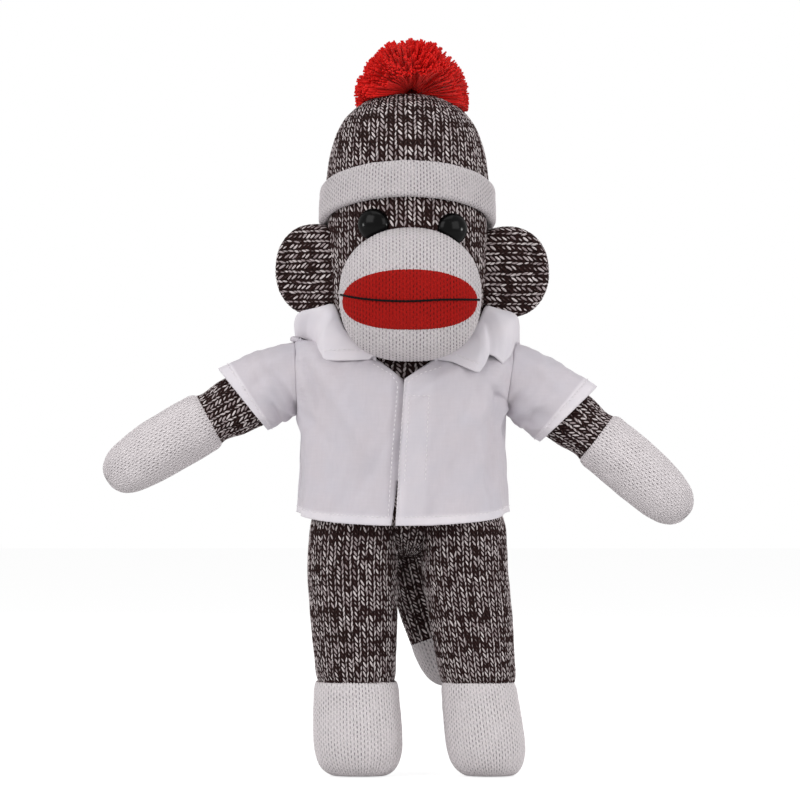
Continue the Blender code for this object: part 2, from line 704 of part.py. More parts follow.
def leg_x(side, height):
    return SOLE_X[side] + (HIP_X[side] - SOLE_X[side]) * height / HIP_Z


def build_leg(side, knit, white):
    rings = []
    start = FOOT_HEIGHT + GAP
    for share, width, depth in LEG_SWELL_SHARES:
        height = start + (HIP_Z - start) * share
        rings.append(ring(Vector((leg_x(side, height), 0, height)), ACROSS, BACK,
                          LEG_HALF_WIDTH[side] * width, LEG_HALF_DEPTH * depth, LEG_POWER))
    for degrees in HIP_TURNS:
        turn = math.radians(degrees)
        height = HIP_Z + LEG_HALF_DEPTH * math.sin(turn)
        width = 1 - HIP_END_SHARE * math.sin(turn) ** HIP_END_POWER
        rings.append(ring(Vector((leg_x(side, height), 0, height)), ACROSS, BACK,
                          LEG_HALF_WIDTH[side] * width, LEG_HALF_DEPTH * math.cos(turn), LEG_POWER))
    leg = loft("leg_" + side, rings, knit)
    rings = []
    for share, swell in FOOT_SWELL_SHARES:
        height = FOOT_HEIGHT * share
        rings.append(ring(Vector((leg_x(side, height), 0, height)), ACROSS, BACK,
                          FOOT_HALF_WIDTH[side] * swell, FOOT_HALF_DEPTH * swell, LEG_POWER))
    return [leg, loft("foot_" + side, rings, white)]


def hip_tool():
    """The room that both legs turn in: under the body, and round the hips' axis."""
    radius = LEG_HALF_DEPTH + JOINT_GAP
    far = BODY_HALF_WIDTH + OVERRUN
    outline = [(-far, HIP_Z + radius)]
    for degrees in HIP_ROOM_TURNS:
        turn = math.radians(degrees)
        outline.append((radius * math.cos(turn), HIP_Z + radius * math.sin(turn)))
    outline += [(radius, 0), (-far, 0)]
    rings = [[Vector((side, y, z)) for y, z in outline] for side in (BODY_X - far, BODY_X + far)]
    return loft("hip_room", rings)


def tail_root():
    return Vector((TAIL_X, TAIL_Y, TAIL_Z))


def tail_place(share):
    """A place along the tail: down, sideways and a little back."""
    back = TAIL_REACH * math.sin(min(1, 2 * share) * math.pi / 2)
    return tail_root() + Vector((TAIL_DRIFT * share ** TAIL_DRIFT_POWER, back, -TAIL_DROP * share))


def tail_ring(share, radius):
    before, after = max(0, share - TAIL_STEP_SHARE), min(1, share + TAIL_STEP_SHARE)
    along = (tail_place(after) - tail_place(before)).normalized()
    side = along.cross(BACK).normalized()
    return ring(tail_place(share), side, side.cross(along), radius, radius)


def build_tail(body, knit, white):
    rings = []
    start = (tail_place(TAIL_START_SHARE) - tail_place(0)).normalized()
    first = start.cross(BACK).normalized()
    for degrees in TAIL_BALL_TURNS:
        turn = math.radians(degrees)
        spot = tail_root() - start * (TAIL_BALL_RADIUS * math.cos(turn))
        radius = TAIL_BALL_RADIUS * math.sin(turn)
        rings.append([spot] if degrees == 0 else ring(spot, first, first.cross(start), radius, radius))
    rings += [tail_ring(share, TAIL_RADIUS * swell) for share, swell in TAIL_SWELL_SHARES]
    tail = loft("tail", rings, knit)
    rings = []
    tip_from = TAIL_TIP_SHARE + GAP / TAIL_DROP
    for share, swell in TAIL_TIP_SWELL_SHARES:
        along = tip_from + (1 - tip_from) * share
        rings.append([tail_place(along)] if swell == 0 else tail_ring(along, TAIL_RADIUS * swell))
    socket = bmesh.new()
    bmesh.ops.create_uvsphere(socket, u_segments=BODY_SIDES, v_segments=LIMB_SIDES,
                              radius=TAIL_BALL_RADIUS + JOINT_GAP)
    bmesh.ops.translate(socket, verts=socket.verts, vec=tail_root())
    cut(body, place("tail_socket", socket, None))
    return [tail, loft("tail_tip", rings, white)]


# Shirt

def shirt_shares_at(level):
    """Height, width and depth shares, level counted in rows of the shirt's shares."""
    row = min(int(level), len(SHIRT_SHARES) - 2)
    part = level - row
    return [a + (b - a) * part for a, b in zip(SHIRT_SHARES[row], SHIRT_SHARES[row + 1])]


def shirt_spot(turn, level):
    """A place on the shirt's outer face."""
    height, width, depth = shirt_shares_at(level)
    side = bent(math.sin(turn), SHIRT_POWER)
    front = bent(math.cos(turn), SHIRT_POWER)
    rise = HEM_RISE * side * side * max(0, 1 - height / SHIRT_SHARES[2][0])
    return Vector((BODY_X + SHIRT_HALF_WIDTH * width * side, -SHIRT_HALF_DEPTH * depth * front,
                   HEM_Z + (SHIRT_TOP_Z - HEM_Z) * height + rise))


def shirt_point(turn, level, proud):
    """The same place moved out along the cloth's own slope, with the hem's folds."""
    top = len(SHIRT_SHARES) - 1
    round_body = shirt_spot(turn + SLOPE_STEP, level) - shirt_spot(turn - SLOPE_STEP, level)
    below, above = max(0, level - SLOPE_STEP), min(top, level + SLOPE_STEP)
    up_body = shirt_spot(turn, above) - shirt_spot(turn, below)
    normal = round_body.cross(up_body).normalized()
    spot = shirt_spot(turn, level)
    height = (spot.z - HEM_Z) / (SHIRT_TOP_Z - HEM_Z)
    fade = max(0, 1 - height / FOLD_FADE_SHARE) ** 2
    centre = abs(math.sin(turn)) ** 0.5
    fold = -FOLD_DEPTH * fade * centre * (1 + math.cos(FOLD_COUNT * turn)) / 2
    return spot + normal * (proud + fold)


def edge_x(height):
    """Where the front's slanted edge lies at a height."""
    return EDGE_HEM_X + (V_X - EDGE_HEM_X) * (height - HEM_Z) / (V_Z - HEM_Z)


def turn_at(x, level):
    """The turn from the front at which the shirt reaches a place across it."""
    width = SHIRT_HALF_WIDTH * shirt_shares_at(level)[1]
    return math.copysign(math.asin(min(1, abs(x - BODY_X) / width) ** (SHIRT_POWER / 2)), x - BODY_X)


def level_at(height):
    """The level at which the shirt reaches a height up its front."""
    share = (height - HEM_Z) / (SHIRT_TOP_Z - HEM_Z)
    for row, (low, high) in enumerate(zip(SHIRT_SHARES, SHIRT_SHARES[1:])):
        if low[0] <= share <= high[0]:
            return row + (share - low[0]) / (high[0] - low[0])
    return 0.0


def front_height(level):
    return shirt_spot(0, level).z


def shirt_height(x, y):
    """How high the shirt lies at a place seen from above, sought from its top down."""
    level = len(SHIRT_SHARES) - 1
    while level > 0:
        height, width, depth = shirt_shares_at(level)
        across = (abs(x - BODY_X) / SHIRT_HALF_WIDTH / width) ** SHIRT_POWER
        if across + (abs(y) / SHIRT_HALF_DEPTH / depth) ** SHIRT_POWER <= 1:
            return HEM_Z + (SHIRT_TOP_Z - HEM_Z) * height
        level -= SEARCH_STEP
    return 0


def shirt_rows():
    return range(len(SHIRT_SHARES))


def shirt_panel(name, turns_at, sink_at, material):
    """One panel of cloth; turns_at gives each row's turns, sink_at how far the cloth dips."""
    skins = []
    for wall in (0, -CLOTH):
        skins.append([[shirt_point(turn, level, wall + sink_at(turn, level)) for turn in turns_at(level)]
                      for level in shirt_rows()])
    return slab(name, skins[0], skins[1], material)


def spaced(start, end, count):
    return [start + (end - start) * step / count for step in range(count + 1)]


def side_turn(level):
    """Half the side seam's gap, as a turn, on the front's side of the seam."""
    depth = SHIRT_HALF_DEPTH * SHIRT_SHARES[int(level)][2]
    share = min(1, SEAM_GAP / 2 / depth)
    return math.acos(share ** (SHIRT_POWER / 2))


def build_shirt_body(cloth):
    def level_sink(turn, level):
        return 0

    def tucked(turn, level):
        """The right front dips under the left front's edge."""
        spot = shirt_spot(turn, level)
        near = max(0, 1 - abs(spot.x - edge_x(min(spot.z, V_Z))) / TUCK_WIDTH)
        upper = min(1, max(0, (spot.z - HEM_Z) / (TAPE_LOW_Z - HEM_Z)))
        return -(CLOTH + GAP) * near * near * (3 - 2 * near) * upper

    def left_turns(level):
        edge = edge_x(min(front_height(level), V_Z))
        return spaced(turn_at(edge, level), side_turn(level), PANEL_COLUMNS)

    def right_turns(level):
        height = front_height(level)
        parting = max(0, 1 - (height - HEM_Z) / (TAPE_LOW_Z - HEM_Z))
        edge = edge_x(min(height, V_Z)) - EDGE_PARTING * parting - SEAM_GAP / 2
        return spaced(-side_turn(level), turn_at(edge, level), PANEL_COLUMNS)

    def back_turns(level):
        seam = side_turn(level)
        return spaced(math.pi - seam, math.pi + seam, BACK_COLUMNS)

    return [shirt_panel("shirt_front_left", left_turns, level_sink, cloth),
            shirt_panel("shirt_front_right", right_turns, tucked, cloth),
            shirt_panel("shirt_back", back_turns, level_sink, cloth)]


def neck_tool():
    """The shirt's neck hole: round behind, and open to a point in front."""
    rings = [ring(Vector((HEAD_X, 0, height)), ACROSS, BACK, NECK_HOLE_RADIUS, NECK_HOLE_RADIUS,
                  count=CUFF_STEPS) for height in (V_Z - OVERRUN, SHIRT_TOP_Z + OVERRUN)]
    return loft("neck_hole", rings)


def v_tool():
    outline = [(V_X, V_Z), (V_X + V_LEFT_REACH, V_Z + V_RISE), (V_X + V_LEFT_REACH, SHIRT_TOP_Z + OVERRUN),
               (V_X - V_RIGHT_REACH, SHIRT_TOP_Z + OVERRUN), (V_X - V_RIGHT_REACH, V_Z + V_RISE)]
    rings = [[Vector((x, depth, z)) for x, z in outline]
             for depth in (-SHIRT_HALF_DEPTH - OVERRUN, -SHIRT_HALF_DEPTH / 2)]
    return loft("open_neck", rings)


def build_tapes(hooks, loops):
    """Two strips that close the fronts, one behind each, where the stitched box lies."""
    pieces = []
    layers = (("hook_tape", TAPE_INSET, 1, hooks), ("loop_tape", -TAPE_LANDING, 2, loops))
    for name, inset, layer, material in layers:
        outer = -layer * GAP - CLOTH - (layer - 1) * TAPE_THICKNESS
        if layer == 2:
            outer -= CLOTH
        skins = []
        for proud in (outer, outer - TAPE_THICKNESS):
            rows = []
            for height in spaced(TAPE_LOW_Z, TAPE_HIGH_Z, TAPE_ROWS):
                level = level_at(height)
                start = turn_at(edge_x(height) + inset, level)
                end = turn_at(edge_x(height) + TAPE_INSET + TAPE_WIDTH, level)
                rows.append([shirt_point(turn, level, proud) for turn in spaced(start, end, TAPE_COLUMNS)])
            skins.append(rows)
        pieces.append(slab(name, skins[0], skins[1], material))
    return pieces


def sleeve_rings(side, inset):
    spot, axis = shoulder_frame(side)
    root = spot + axis * (JOINT_GAP / 2)
    cuff = Vector((SLEEVE_CUFF_X[side], 0, SLEEVE_CUFF_Z[side]))
    rings = []
    for step in range(SLEEVE_STEPS + 1):
        share = step / SLEEVE_STEPS
        droop = SEAM_ANGLE[side] + (SLEEVE_CUFF_ANGLE[side] - SEAM_ANGLE[side]) * share
        along = Vector((OUTWARD[side] * math.cos(droop), 0, -math.sin(droop)))
        sag = UP * (SLEEVE_SAG * math.sin(share * math.pi))
        height = SLEEVE_ROOT_HALF_HEIGHT + (SLEEVE_CUFF_HALF_HEIGHT - SLEEVE_ROOT_HALF_HEIGHT) * share
        depth = SLEEVE_ROOT_HALF_DEPTH + (SLEEVE_CUFF_HALF_DEPTH - SLEEVE_ROOT_HALF_DEPTH) * share
        rings.append(ring(root.lerp(cuff, share) + sag, BACK, along.cross(BACK), depth - inset,
                          height - inset, count=BODY_SIDES))
    return rings


def build_sleeve(side, cloth):
    outer = sleeve_rings(side, 0)
    inner = sleeve_rings(side, CLOTH)
    return loft("sleeve_" + side, outer + inner[::-1], cloth, looped=True)


def collar_section(degrees, side):
    """The five places of the collar's cloth at a turn from the front."""
    for low, high in zip(COLLAR_SHARES, COLLAR_SHARES[1:]):
        if low[0] <= degrees <= high[0]:
            part = (degrees - low[0]) / (high[0] - low[0])
            places = [(a[0] + (b[0] - a[0]) * part, a[1] + (b[1] - a[1]) * part)
                      for a, b in zip(low[1:], high[1:])]
    leaf = math.exp(-((degrees - LEAF_TURN) / LEAF_SPREAD) ** 2)
    turn = math.radians(degrees) * OUTWARD[side]
    section = []
    for index, (share, rise) in enumerate(places):
        radius = COLLAR_RADIUS * share
        drop = LEAF_DROP[side] * leaf * max(0, index - 2) / 2
        seat = shirt_height(HEAD_X + radius * math.sin(turn), -radius * math.cos(turn)) + COLLAR_SEAT
        section.append((radius, max(seat, COLLAR_FOOT_Z + COLLAR_RISE * rise - drop)))
    return section


def build_collar(cloth):
    first, last = COLLAR_SHARES[0][0], COLLAR_SHARES[-1][0]
    rings = []
    for step in range(COLLAR_STEPS + 1):
        degrees = 2 * last * step / COLLAR_STEPS * (last - first) / last + first
        side = "left" if degrees <= last else "right"
        section = collar_section(min(degrees, 2 * last - degrees), side)
        turn = math.radians(degrees)
        out = Vector((math.sin(turn), -math.cos(turn), 0))
        faces = []
        for wall in (-CLOTH / 2, CLOTH / 2):
            row = []
            for index, (radius, height) in enumerate(section):
                before = section[max(index - 1, 0)]
                after = section[min(index + 1, len(section) - 1)]
                run, rise = after[0] - before[0], after[1] - before[1]
                length = math.hypot(run, rise)
                row.append(Vector((HEAD_X, 0, 0)) + out * (radius - wall * rise / length)
                           + UP * (height + wall * run / length))
            faces.append(row)
        rings.append(faces[0] + faces[1][::-1])
    return loft("collar", rings, cloth)


def build():
    clear_scene()
    marl = finish("brown marl knit", 0.055, 0.036, 0.036, 0.95)
    white = finish("white knit", 0.68, 0.64, 0.66, 0.95)
    red = finish("red knit", 0.42, 0.012, 0.010, 0.9)
    yarn = finish("red yarn", 0.50, 0.008, 0.007, 0.95)
    thread = finish("black thread", 0.006, 0.006, 0.008, 0.7)
    eye_plastic = finish("black plastic", 0.004, 0.004, 0.005, 0.15)
    washer_plastic = finish("white plastic", 0.6, 0.6, 0.6, 0.5)
    cotton = finish("white cotton", 0.72, 0.68, 0.71, 0.9)
    hooks = finish("white hook tape", 0.65, 0.65, 0.65, 0.8)
    loops = finish("white loop tape", 0.60, 0.60, 0.60, 0.95)

    neck = joint_empty("neck_axis", Vector((HEAD_X, 0, NECK_Z)))
    head, face = build_face(marl, white, red, thread)
    eyes = build_eyes(head, face[0], eye_plastic, washer_plastic)
    head_tool = loft("head_for_skins", head_rings(GAP))
    ears = build_ears(head_tool, marl)
    hat = build_hat(head_tool, marl, white, yarn)
    hang_on(neck, head, *face, *eyes, *ears, *hat)

    body = loft("torso", body_rings(), marl)
    cut(body, hip_tool())
    tail = build_tail(body, marl, white)
    hang_on(joint_empty("tail_axis", tail_root()), *tail)
    panels = build_shirt_body(cotton)
    hole, opening = neck_tool(), v_tool()
    for panel in panels:
        cut(panel, hole)
    for panel in panels[:2]:
        cut(panel, opening)
    for side in SIDES:
        tool = armhole_tool(side)
        for piece in (body, *panels):
            cut(piece, tool)
        arm = build_arm(side, marl, white) + [build_sleeve(side, cotton)]
        hang_on(joint_empty("shoulder_axis_" + side, shoulder_frame(side)[0]), *arm)
        leg = build_leg(side, marl, white)
        hang_on(joint_empty("hip_axis_" + side, Vector((HIP_X[side], 0, HIP_Z))), *leg)
    build_tapes(hooks, loops)
    build_collar(cotton)


build()
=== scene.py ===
"""A sock monkey doll in a short-sleeved shirt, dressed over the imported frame: knitted skins, a yarn
pompom, an embroidered mouth, glossy eyes and a cotton shirt with its topstitching."""

import math

import bpy
import numpy as np
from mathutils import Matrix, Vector


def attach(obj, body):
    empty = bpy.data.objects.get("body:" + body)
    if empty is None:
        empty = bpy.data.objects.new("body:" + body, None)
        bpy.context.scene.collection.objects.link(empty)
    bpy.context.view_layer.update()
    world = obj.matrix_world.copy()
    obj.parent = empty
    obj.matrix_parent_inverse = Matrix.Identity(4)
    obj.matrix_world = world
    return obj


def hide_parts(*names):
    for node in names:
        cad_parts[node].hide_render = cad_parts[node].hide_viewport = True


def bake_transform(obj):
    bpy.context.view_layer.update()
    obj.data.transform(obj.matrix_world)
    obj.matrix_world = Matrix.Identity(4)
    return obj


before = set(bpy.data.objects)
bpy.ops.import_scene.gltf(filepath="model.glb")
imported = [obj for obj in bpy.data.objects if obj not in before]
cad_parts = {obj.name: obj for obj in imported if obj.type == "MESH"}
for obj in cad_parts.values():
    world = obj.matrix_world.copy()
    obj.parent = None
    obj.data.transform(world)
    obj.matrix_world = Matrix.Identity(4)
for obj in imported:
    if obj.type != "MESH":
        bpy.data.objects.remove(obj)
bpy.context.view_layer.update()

# Head, muzzle and lips
HEAD_X = .0039
HEAD_FOOT_Z = .1766
HEAD_HEIGHT = .103
HEAD_STEP = .0002
UPRIGHT_POWER = .6
HEAD_HALF = (.0326, .0308)
HEAD_SHARES = [(0, .60), (.017, .69), (.046, .80), (.085, .877), (.133, .933), (.210, .969), (.347, .994),
               (.483, 1), (.600, .985), (.696, .96), (.793, .90), (.871, .80), (.929, .66), (.968, .49),
               (.990, .28), (1, 0)]
MUZZLE_SPOT = (.0050, .1980)
MUZZLE_HALF = (.0289, .0272)
MUZZLE_POWER = (2.15, 2.45)
DOME_POWER = 2.3
DOME_DEPTH = .018
MUZZLE_BACK_Y = -.008
MUZZLE_ROUND_Y = -.030
CHIN_RISE = .006
MUZZLE_ACROSS = .085
MUZZLE_OVER = .110
SLOPE_STEP = .00004
MUZZLE_BACK_SHARES = [(0, .94, .80), (.5, .98, .90), (1, 1, 1)]
LIP_SPOT = (.0048, .1957)
LIP_HALF = (.0282, .0126)
LIP_POWER = (2.15, 2.5)
LIP_EDGE_POWER = 9
LIP_PROUD = .0008
LIP_TUCK = .0014
LIP_DEPTH = .0016
LIPS_ACROSS = .075
LIPS_OVER = .056
MOUTH = [(-.0233, .1978), (-.0170, .1965), (-.0112, .1957), (.0040, .1950), (.0180, .1956), (.0331, .1957)]
MOUTH_STEP = .00014
THREAD_RADIUS = .00043
THREAD_PROUD = .0011
THREAD_DIP = .0010
THREAD_PLY = .16
THREAD_TWIST = .0016

# Eyes and ears: left, right
EYE_X = (.0219, -.0099)
EYE_Z = (.2248, .2266)
EYE_RADIUS = .0066
EYE_DOME = .0046
EYE_RIM = .0006
EYE_SINK = .0002
EYE_YAW_SHARE = .7
EYE_SHANK = [(.0013, -.0060), (.0014, -.0058), (.0014, -.0002), (.0058, 0), (EYE_RADIUS, .0002)]
EAR_SPOT = ((.0450, .0010, .2078), (-.0345, .0010, .2088))
EAR_HALF = (.0173, .0186)
EAR_HALF_THICKNESS = .0048
EAR_YAW = (math.radians(6), math.radians(28))
EAR_POWER = 2.2
EAR_CREASE = .0021
EAR_CREASE_SHARES = (.66, .13)
EAR_SHIFT = 40
EAR_SHARES = [(-.55, 0), (-.58, .40), (-.62, .66), (-.95, .84), (-.72, .96), (0, 1), (.75, .93), (1, .72),
              (.95, .40), (.92, 0)]

# Hat
CROWN_PROUD = .0015
CROWN_UNDERLAP = .003
CROWN_END_SHARE = .993
CUFF_Z = .2348
CUFF_TIP = .0105
CUFF_HALF_HEIGHT = .0074
CUFF_THICKNESS = .0040
CUFF_SHARES = [(-1, .48), (-.86, .14), (-.12, .12), (.14, .50), (.86, .52), (1, .74), (.88, .94), (.42, 1),
               (-.42, 1), (-.88, .90)]
POMPOM_SPOT = (.0056, .0012, .2794)
POMPOM_CORE = .0045
POMPOM_CORE_RISE = 1.6

# Body and tail
BODY_FOOT = (.0020, .0905)
BODY_HEIGHT = .0855
BODY_LEAN = .0019
BODY_HALF = (.0385, .0265)
BODY_POWER = 2.4
BODY_STEP = .0006
BODY_SHARES = [(0, .30, .10), (.03, .50, .16), (.08, .74, .26), (.18, .92, .50), (.32, .98, .90), (.52, .97, .97),
               (.67, .97, .94), (.76, 1.08, .92), (.84, 1.19, .87), (.90, 1.19, .81), (.95, 1.06, .755),
               (.982, .80, .715), (1, .52, .68)]
TAIL_START = [(.0030, .0130, .1060, .0050, .0050), (.0030, .0205, .1010, .0068, .0068)]
TAIL_ROOT = (.0030, .0290, .0935)
TAIL_DRIFT = .0180
TAIL_DRIFT_POWER = 1.4
TAIL_REACH = .0110
TAIL_DROP = .0580
TAIL_RADIUS = .0080
TAIL_TIP_SHARE = .66
TAIL_SHARES = [(.02, .92), (.14, .92), (.30, 1), (.48, 1.02), (.66, 1)]
TAIL_TIP_SHARES = [(0, 1), (.25, 1.02), (.50, .97), (.72, .83), (.88, .58), (.97, .28), (1, 0)]

# Arms and legs: left, right
SHOULDER = ((.0460, 0, .1642), (-.0417, 0, .1642))
SEAM_ANGLE = (math.radians(8), math.radians(2))
SEAM_GAP = .0003
ARM_LENGTH = (.0930, .0892)
ARM_MARL_SHARE = (.465, .445)
ARM_ROOT_ANGLE = (math.radians(31.8), math.radians(23.2))
ARM_TIP_ANGLE = (math.radians(44.8), math.radians(34.6))
ARM_RADIUS = .0118
ARM_SHARES = [(0, 1.02), (.35, 1.03), (.75, .99), (1, .93)]
HAND_SHARES = [(0, .93), (.035, 1.02), (.14, 1.05), (.34, 1.06), (.56, 1.03), (.74, .95), (.87, .80), (.95, .57),
               (.99, .28), (1, 0)]
HIP_Z = .085
HIP_X = (.0276, -.0189)
SOLE_X = (.0376, -.0161)
LEG_HALF = ((.0176, .0170), (.0183, .0170))
LEG_POWER = 2.3
LEG_SHARES = [(0, .85, .88), (.06, .88, .91), (.22, .91, .94), (.50, .96, .98), (.80, .99, 1.01), (1, 1, 1.05)]
# Over the hip the tube runs on under the shirt and deepens: rise, lean inwards, width and depth shares
HIP_RISES = [(.010, .0004, 1.0, 1.16), (.019, .0012, .99, 1.34), (.027, .0030, .93, 1.36), (.033, .0045, .70, 1.0),
             (.0355, .0048, .3, .42)]
SOLE_START = .0005
SOLE_ROUND = .0025
FOOT_HEIGHT = .0385
FOOT_HALF = ((.0163, .0185), (.0183, .0185))
FOOT_SHARES = [(0, .60), (.035, .74), (.11, .875), (.24, .97), (.41, 1), (.60, .985), (.80, .96), (.94, .94),
               (1, .90)]

# Shirt
HEM_Z = .1036
HEM_RISE = .0030
HEM_CORNER = .0022
SHIRT_TOP_Z = .1797
SHIRT_X = .0020
SHIRT_HALF = (.0425, .0300)
SHIRT_POWER = 2.6
CLOTH = .0008
HEM_TURN = .0040
HEM_STITCH_Z = .0035
PLACKET_WIDTH = .0117
TURNING_WIDTH = .0022
SHIRT_SHARES = [(0, 1.035, 1.050), (.100, 1.020, 1.035), (.250, 1.005, 1.005), (.420, .993, .985),
                (.560, .990, .968), (.640, 1.005, .955), (.710, 1.080, .938), (.790, 1.150, .912),
                (.860, 1.160, .850), (.915, 1.130, .720), (.960, 1.035, .550), (.985, .880, .370),
                (.996, .720, .180), (1, .600, .025)]
NECK_HOLE_RADIUS = .0255
BACK_NECK_Z = .1722
V_SPOT = (.0026, .1636)
V_REACH = (.0190, .0175)
V_RISE = .0125
EDGE_HEM_X = -.0011
EDGE_PARTING = .0016
EDGE_UNDERLAP = .0030
# Soft folds dragged across the fronts: from (x, z) to (x, z), half width, rise
DRAG_FOLDS = [(-.0340, .1720, -.0170, .1440, .0046, .0030), (-.0385, .1690, -.0335, .1570, .0030, -.0022),
              (-.0185, .1456, -.0130, .1340, .0040, .0012), (.0405, .1528, .0385, .1260, .0022, -.0022),
              (.0400, .1640, .0330, .1490, .0030, .0024), (.0330, .1490, .0345, .1300, .0034, .0016),
              (.0392, .1585, .0425, .1540, .0016, -.0022), (-.0395, .1560, -.0370, .1480, .0018, -.0012),
              (.0200, .1650, .0080, .1570, .0028, .0013), (-.0120, .1250, -.0220, .1130, .0045, -.0013),
              (.0250, .1290, .0160, .1110, .0045, -.0014), (-.0385, .1480, -.0290, .1380, .0028, -.0010)]
TAPE_LOW_Z = .1225
TUCK_WIDTH = .0062
TUCK_DEPTH = .0021
SLEEVE_ROOT_HALF = (.0147, .0140)
SLEEVE_CUFF_HALF = (.0164, .0138)
SLEEVE_CUFF_SPOT = ((.0700, 0, .1487), (-.0636, 0, .1547))
SLEEVE_CUFF_ANGLE = (math.radians(46), math.radians(38.9))
SLEEVE_SAG = .0008
SLEEVE_HEM = .0045
FRONT_FLAT = (.075, .105)
BACK_FLAT = (.150, .105)
SLEEVE_REACH = .0275
# Creases on the sleeves: from (turn, share) to (turn, share), half width, rise; turns start at the front
SLEEVE_CREASES = [(-1.25, .10, -.10, .62, .0024, .0011), (-.95, .02, .35, .34, .0020, -.0010),
                  (-1.45, .30, -.55, .95, .0026, .0010), (.75, .05, .45, .70, .0030, .0007),
                  (-1.25, .55, -.60, .55, .0018, -.0007), (-2.0, .15, -3.0, .60, .0026, .0009)]

# The collar's columns on each side, from its front end to the shoulder: fold (x, y, z), free edge (x, z) seen
# from the front, how far the edge stands off the shirt, and how much the leaf between them swells
COLLAR_FRONT = (
    [(.0152, -.0243, .1724, .0170, .1714, .0008, .10), (.0214, -.0222, .1756, .0225, .1704, .0014, .12),
     (.0292, -.0180, .1805, .0316, .1665, .0022, .12), (.0306, -.0168, .1826, .0334, .1664, .0022, .12),
     (.0320, -.0150, .1848, .0353, .1690, .0024, .12), (.0334, -.0130, .1869, .0372, .1737, .0034, .12),
     (.0346, -.0115, .1896, .0398, .1726, .0030, .14), (.0356, -.0100, .1920, .0428, .1698, .0012, .18),
     (.0363, -.0070, .1933, .0462, .1730, .0008, .24), (.0370, -.0030, .1926, .0486, .1778, .0008, .30)],
    [(-.0094, -.0243, .1731, -.0115, .1716, .0008, .10), (-.0149, -.0215, .1768, -.0170, .1711, .0012, .12),
     (-.0213, -.0185, .1825, -.0245, .1710, .0014, .12), (-.0241, -.0140, .1876, -.0306, .1710, .0016, .12),
     (-.0246, -.0132, .1890, -.0330, .1748, .0016, .12), (-.0254, -.0120, .1912, -.0341, .1785, .0018, .12),
     (-.0268, -.0095, .1940, -.0380, .1785, .0018, .18), (-.0290, -.0050, .1930, -.0421, .1784, .0010, .28)])
# From the shoulder to the back's middle: turn, then radius and height of the fold, the leaf's bulge and its edge
COLLAR_BACK = [(98, .0332, .1912, .0448, .1872, .0463, .1778), (120, .0338, .1915, .0440, .1858, .0455, .1752),
               (150, .0342, .1922, .0412, .1845, .0418, .1722), (180, .0343, .1925, .0395, .1840, .0390, .1712)]
COLLAR_STEP = .0008
COLLAR_REACH = 34
# The collar is given a span from the torso to the head, where its fold hugs the chin and its edge lies on the shirt
COLLAR_BEND = ("torso", "head", (HEAD_X, 0, .1690), (HEAD_X, 0, .1880))

# Knitting: width of a wale and height of a course, a leg's rise in courses, its share of the wale, its relief
MARL = {"wale": .00375, "course": .0021, "rise": 1.35, "split": .58, "depth": .00060}
WHITE = {"wale": .00277, "course": .0021, "rise": 1.5, "split": .50, "depth": .00040}
HEEL = {"wale": .00277, "course": .0021, "rise": 1.5, "split": .50, "depth": .00022}
FINE_STEP = .00045
SMALLEST_RING = .0002
LEG_ROUNDNESS = .94
LEG_DIP = .55
DRAWN_IN_SHARE = .34
WOBBLE_SIZE = .016
PIECE_SHIFT = 31
LUMP_SIZE = .011
LUMP_DEPTH = .0007
CLOTH_STEP = .0008

SIDES = ("left", "right")
OUTWARD = (1, -1)
BACK = np.array((0, -1.0, 0))
UP = np.array((0, 0, 1.0))


def linear(hexcode):
    """An sRGB hex colour as the linear colour that a shader takes."""
    parts = [int(hexcode[i:i + 2], 16) / 255 for i in (1, 3, 5)]
    return tuple(p / 12.92 if p <= .04045 else ((p + .055) / 1.055) ** 2.4 for p in parts) + (1,)


def feed(tree, pairs):
    """Gives sockets their values; a socket, or a node for its first output in use, is linked."""
    for socket, value in pairs:
        if isinstance(value, bpy.types.Node):
            value = next(output for output in value.outputs if output.enabled)
        if isinstance(value, bpy.types.NodeSocket):
            tree.links.new(value, socket)
        else:
            socket.default_value = value


def named_inputs(node, inputs):
    return [(node.inputs[name.replace("_", " ")], value) for name, value in inputs.items() if not name.islower()]


def add(tree, kind, *inputs, **more):
    """Adds a node. Inputs fill its sockets in use, in order, capitalised names are inputs as well,
    and names in small letters are its settings."""
    node = tree.nodes.new(kind)
    for name, value in more.items():
        if name.islower():
            setattr(node, name, value)
    in_use = [socket for socket in node.inputs if socket.enabled]
    feed(tree, list(zip(in_use, inputs)) + named_inputs(node, more))
    return node


MATH, MIX, RANGE = "ShaderNodeMath", "ShaderNodeMix", "ShaderNodeMapRange"
NOISE, BUMP, ATTRIBUTE = "ShaderNodeTexNoise", "ShaderNodeBump", "ShaderNodeAttribute"
SPLIT, JOIN, VECTOR = "ShaderNodeSeparateXYZ", "ShaderNodeCombineXYZ", "ShaderNodeVectorMath"


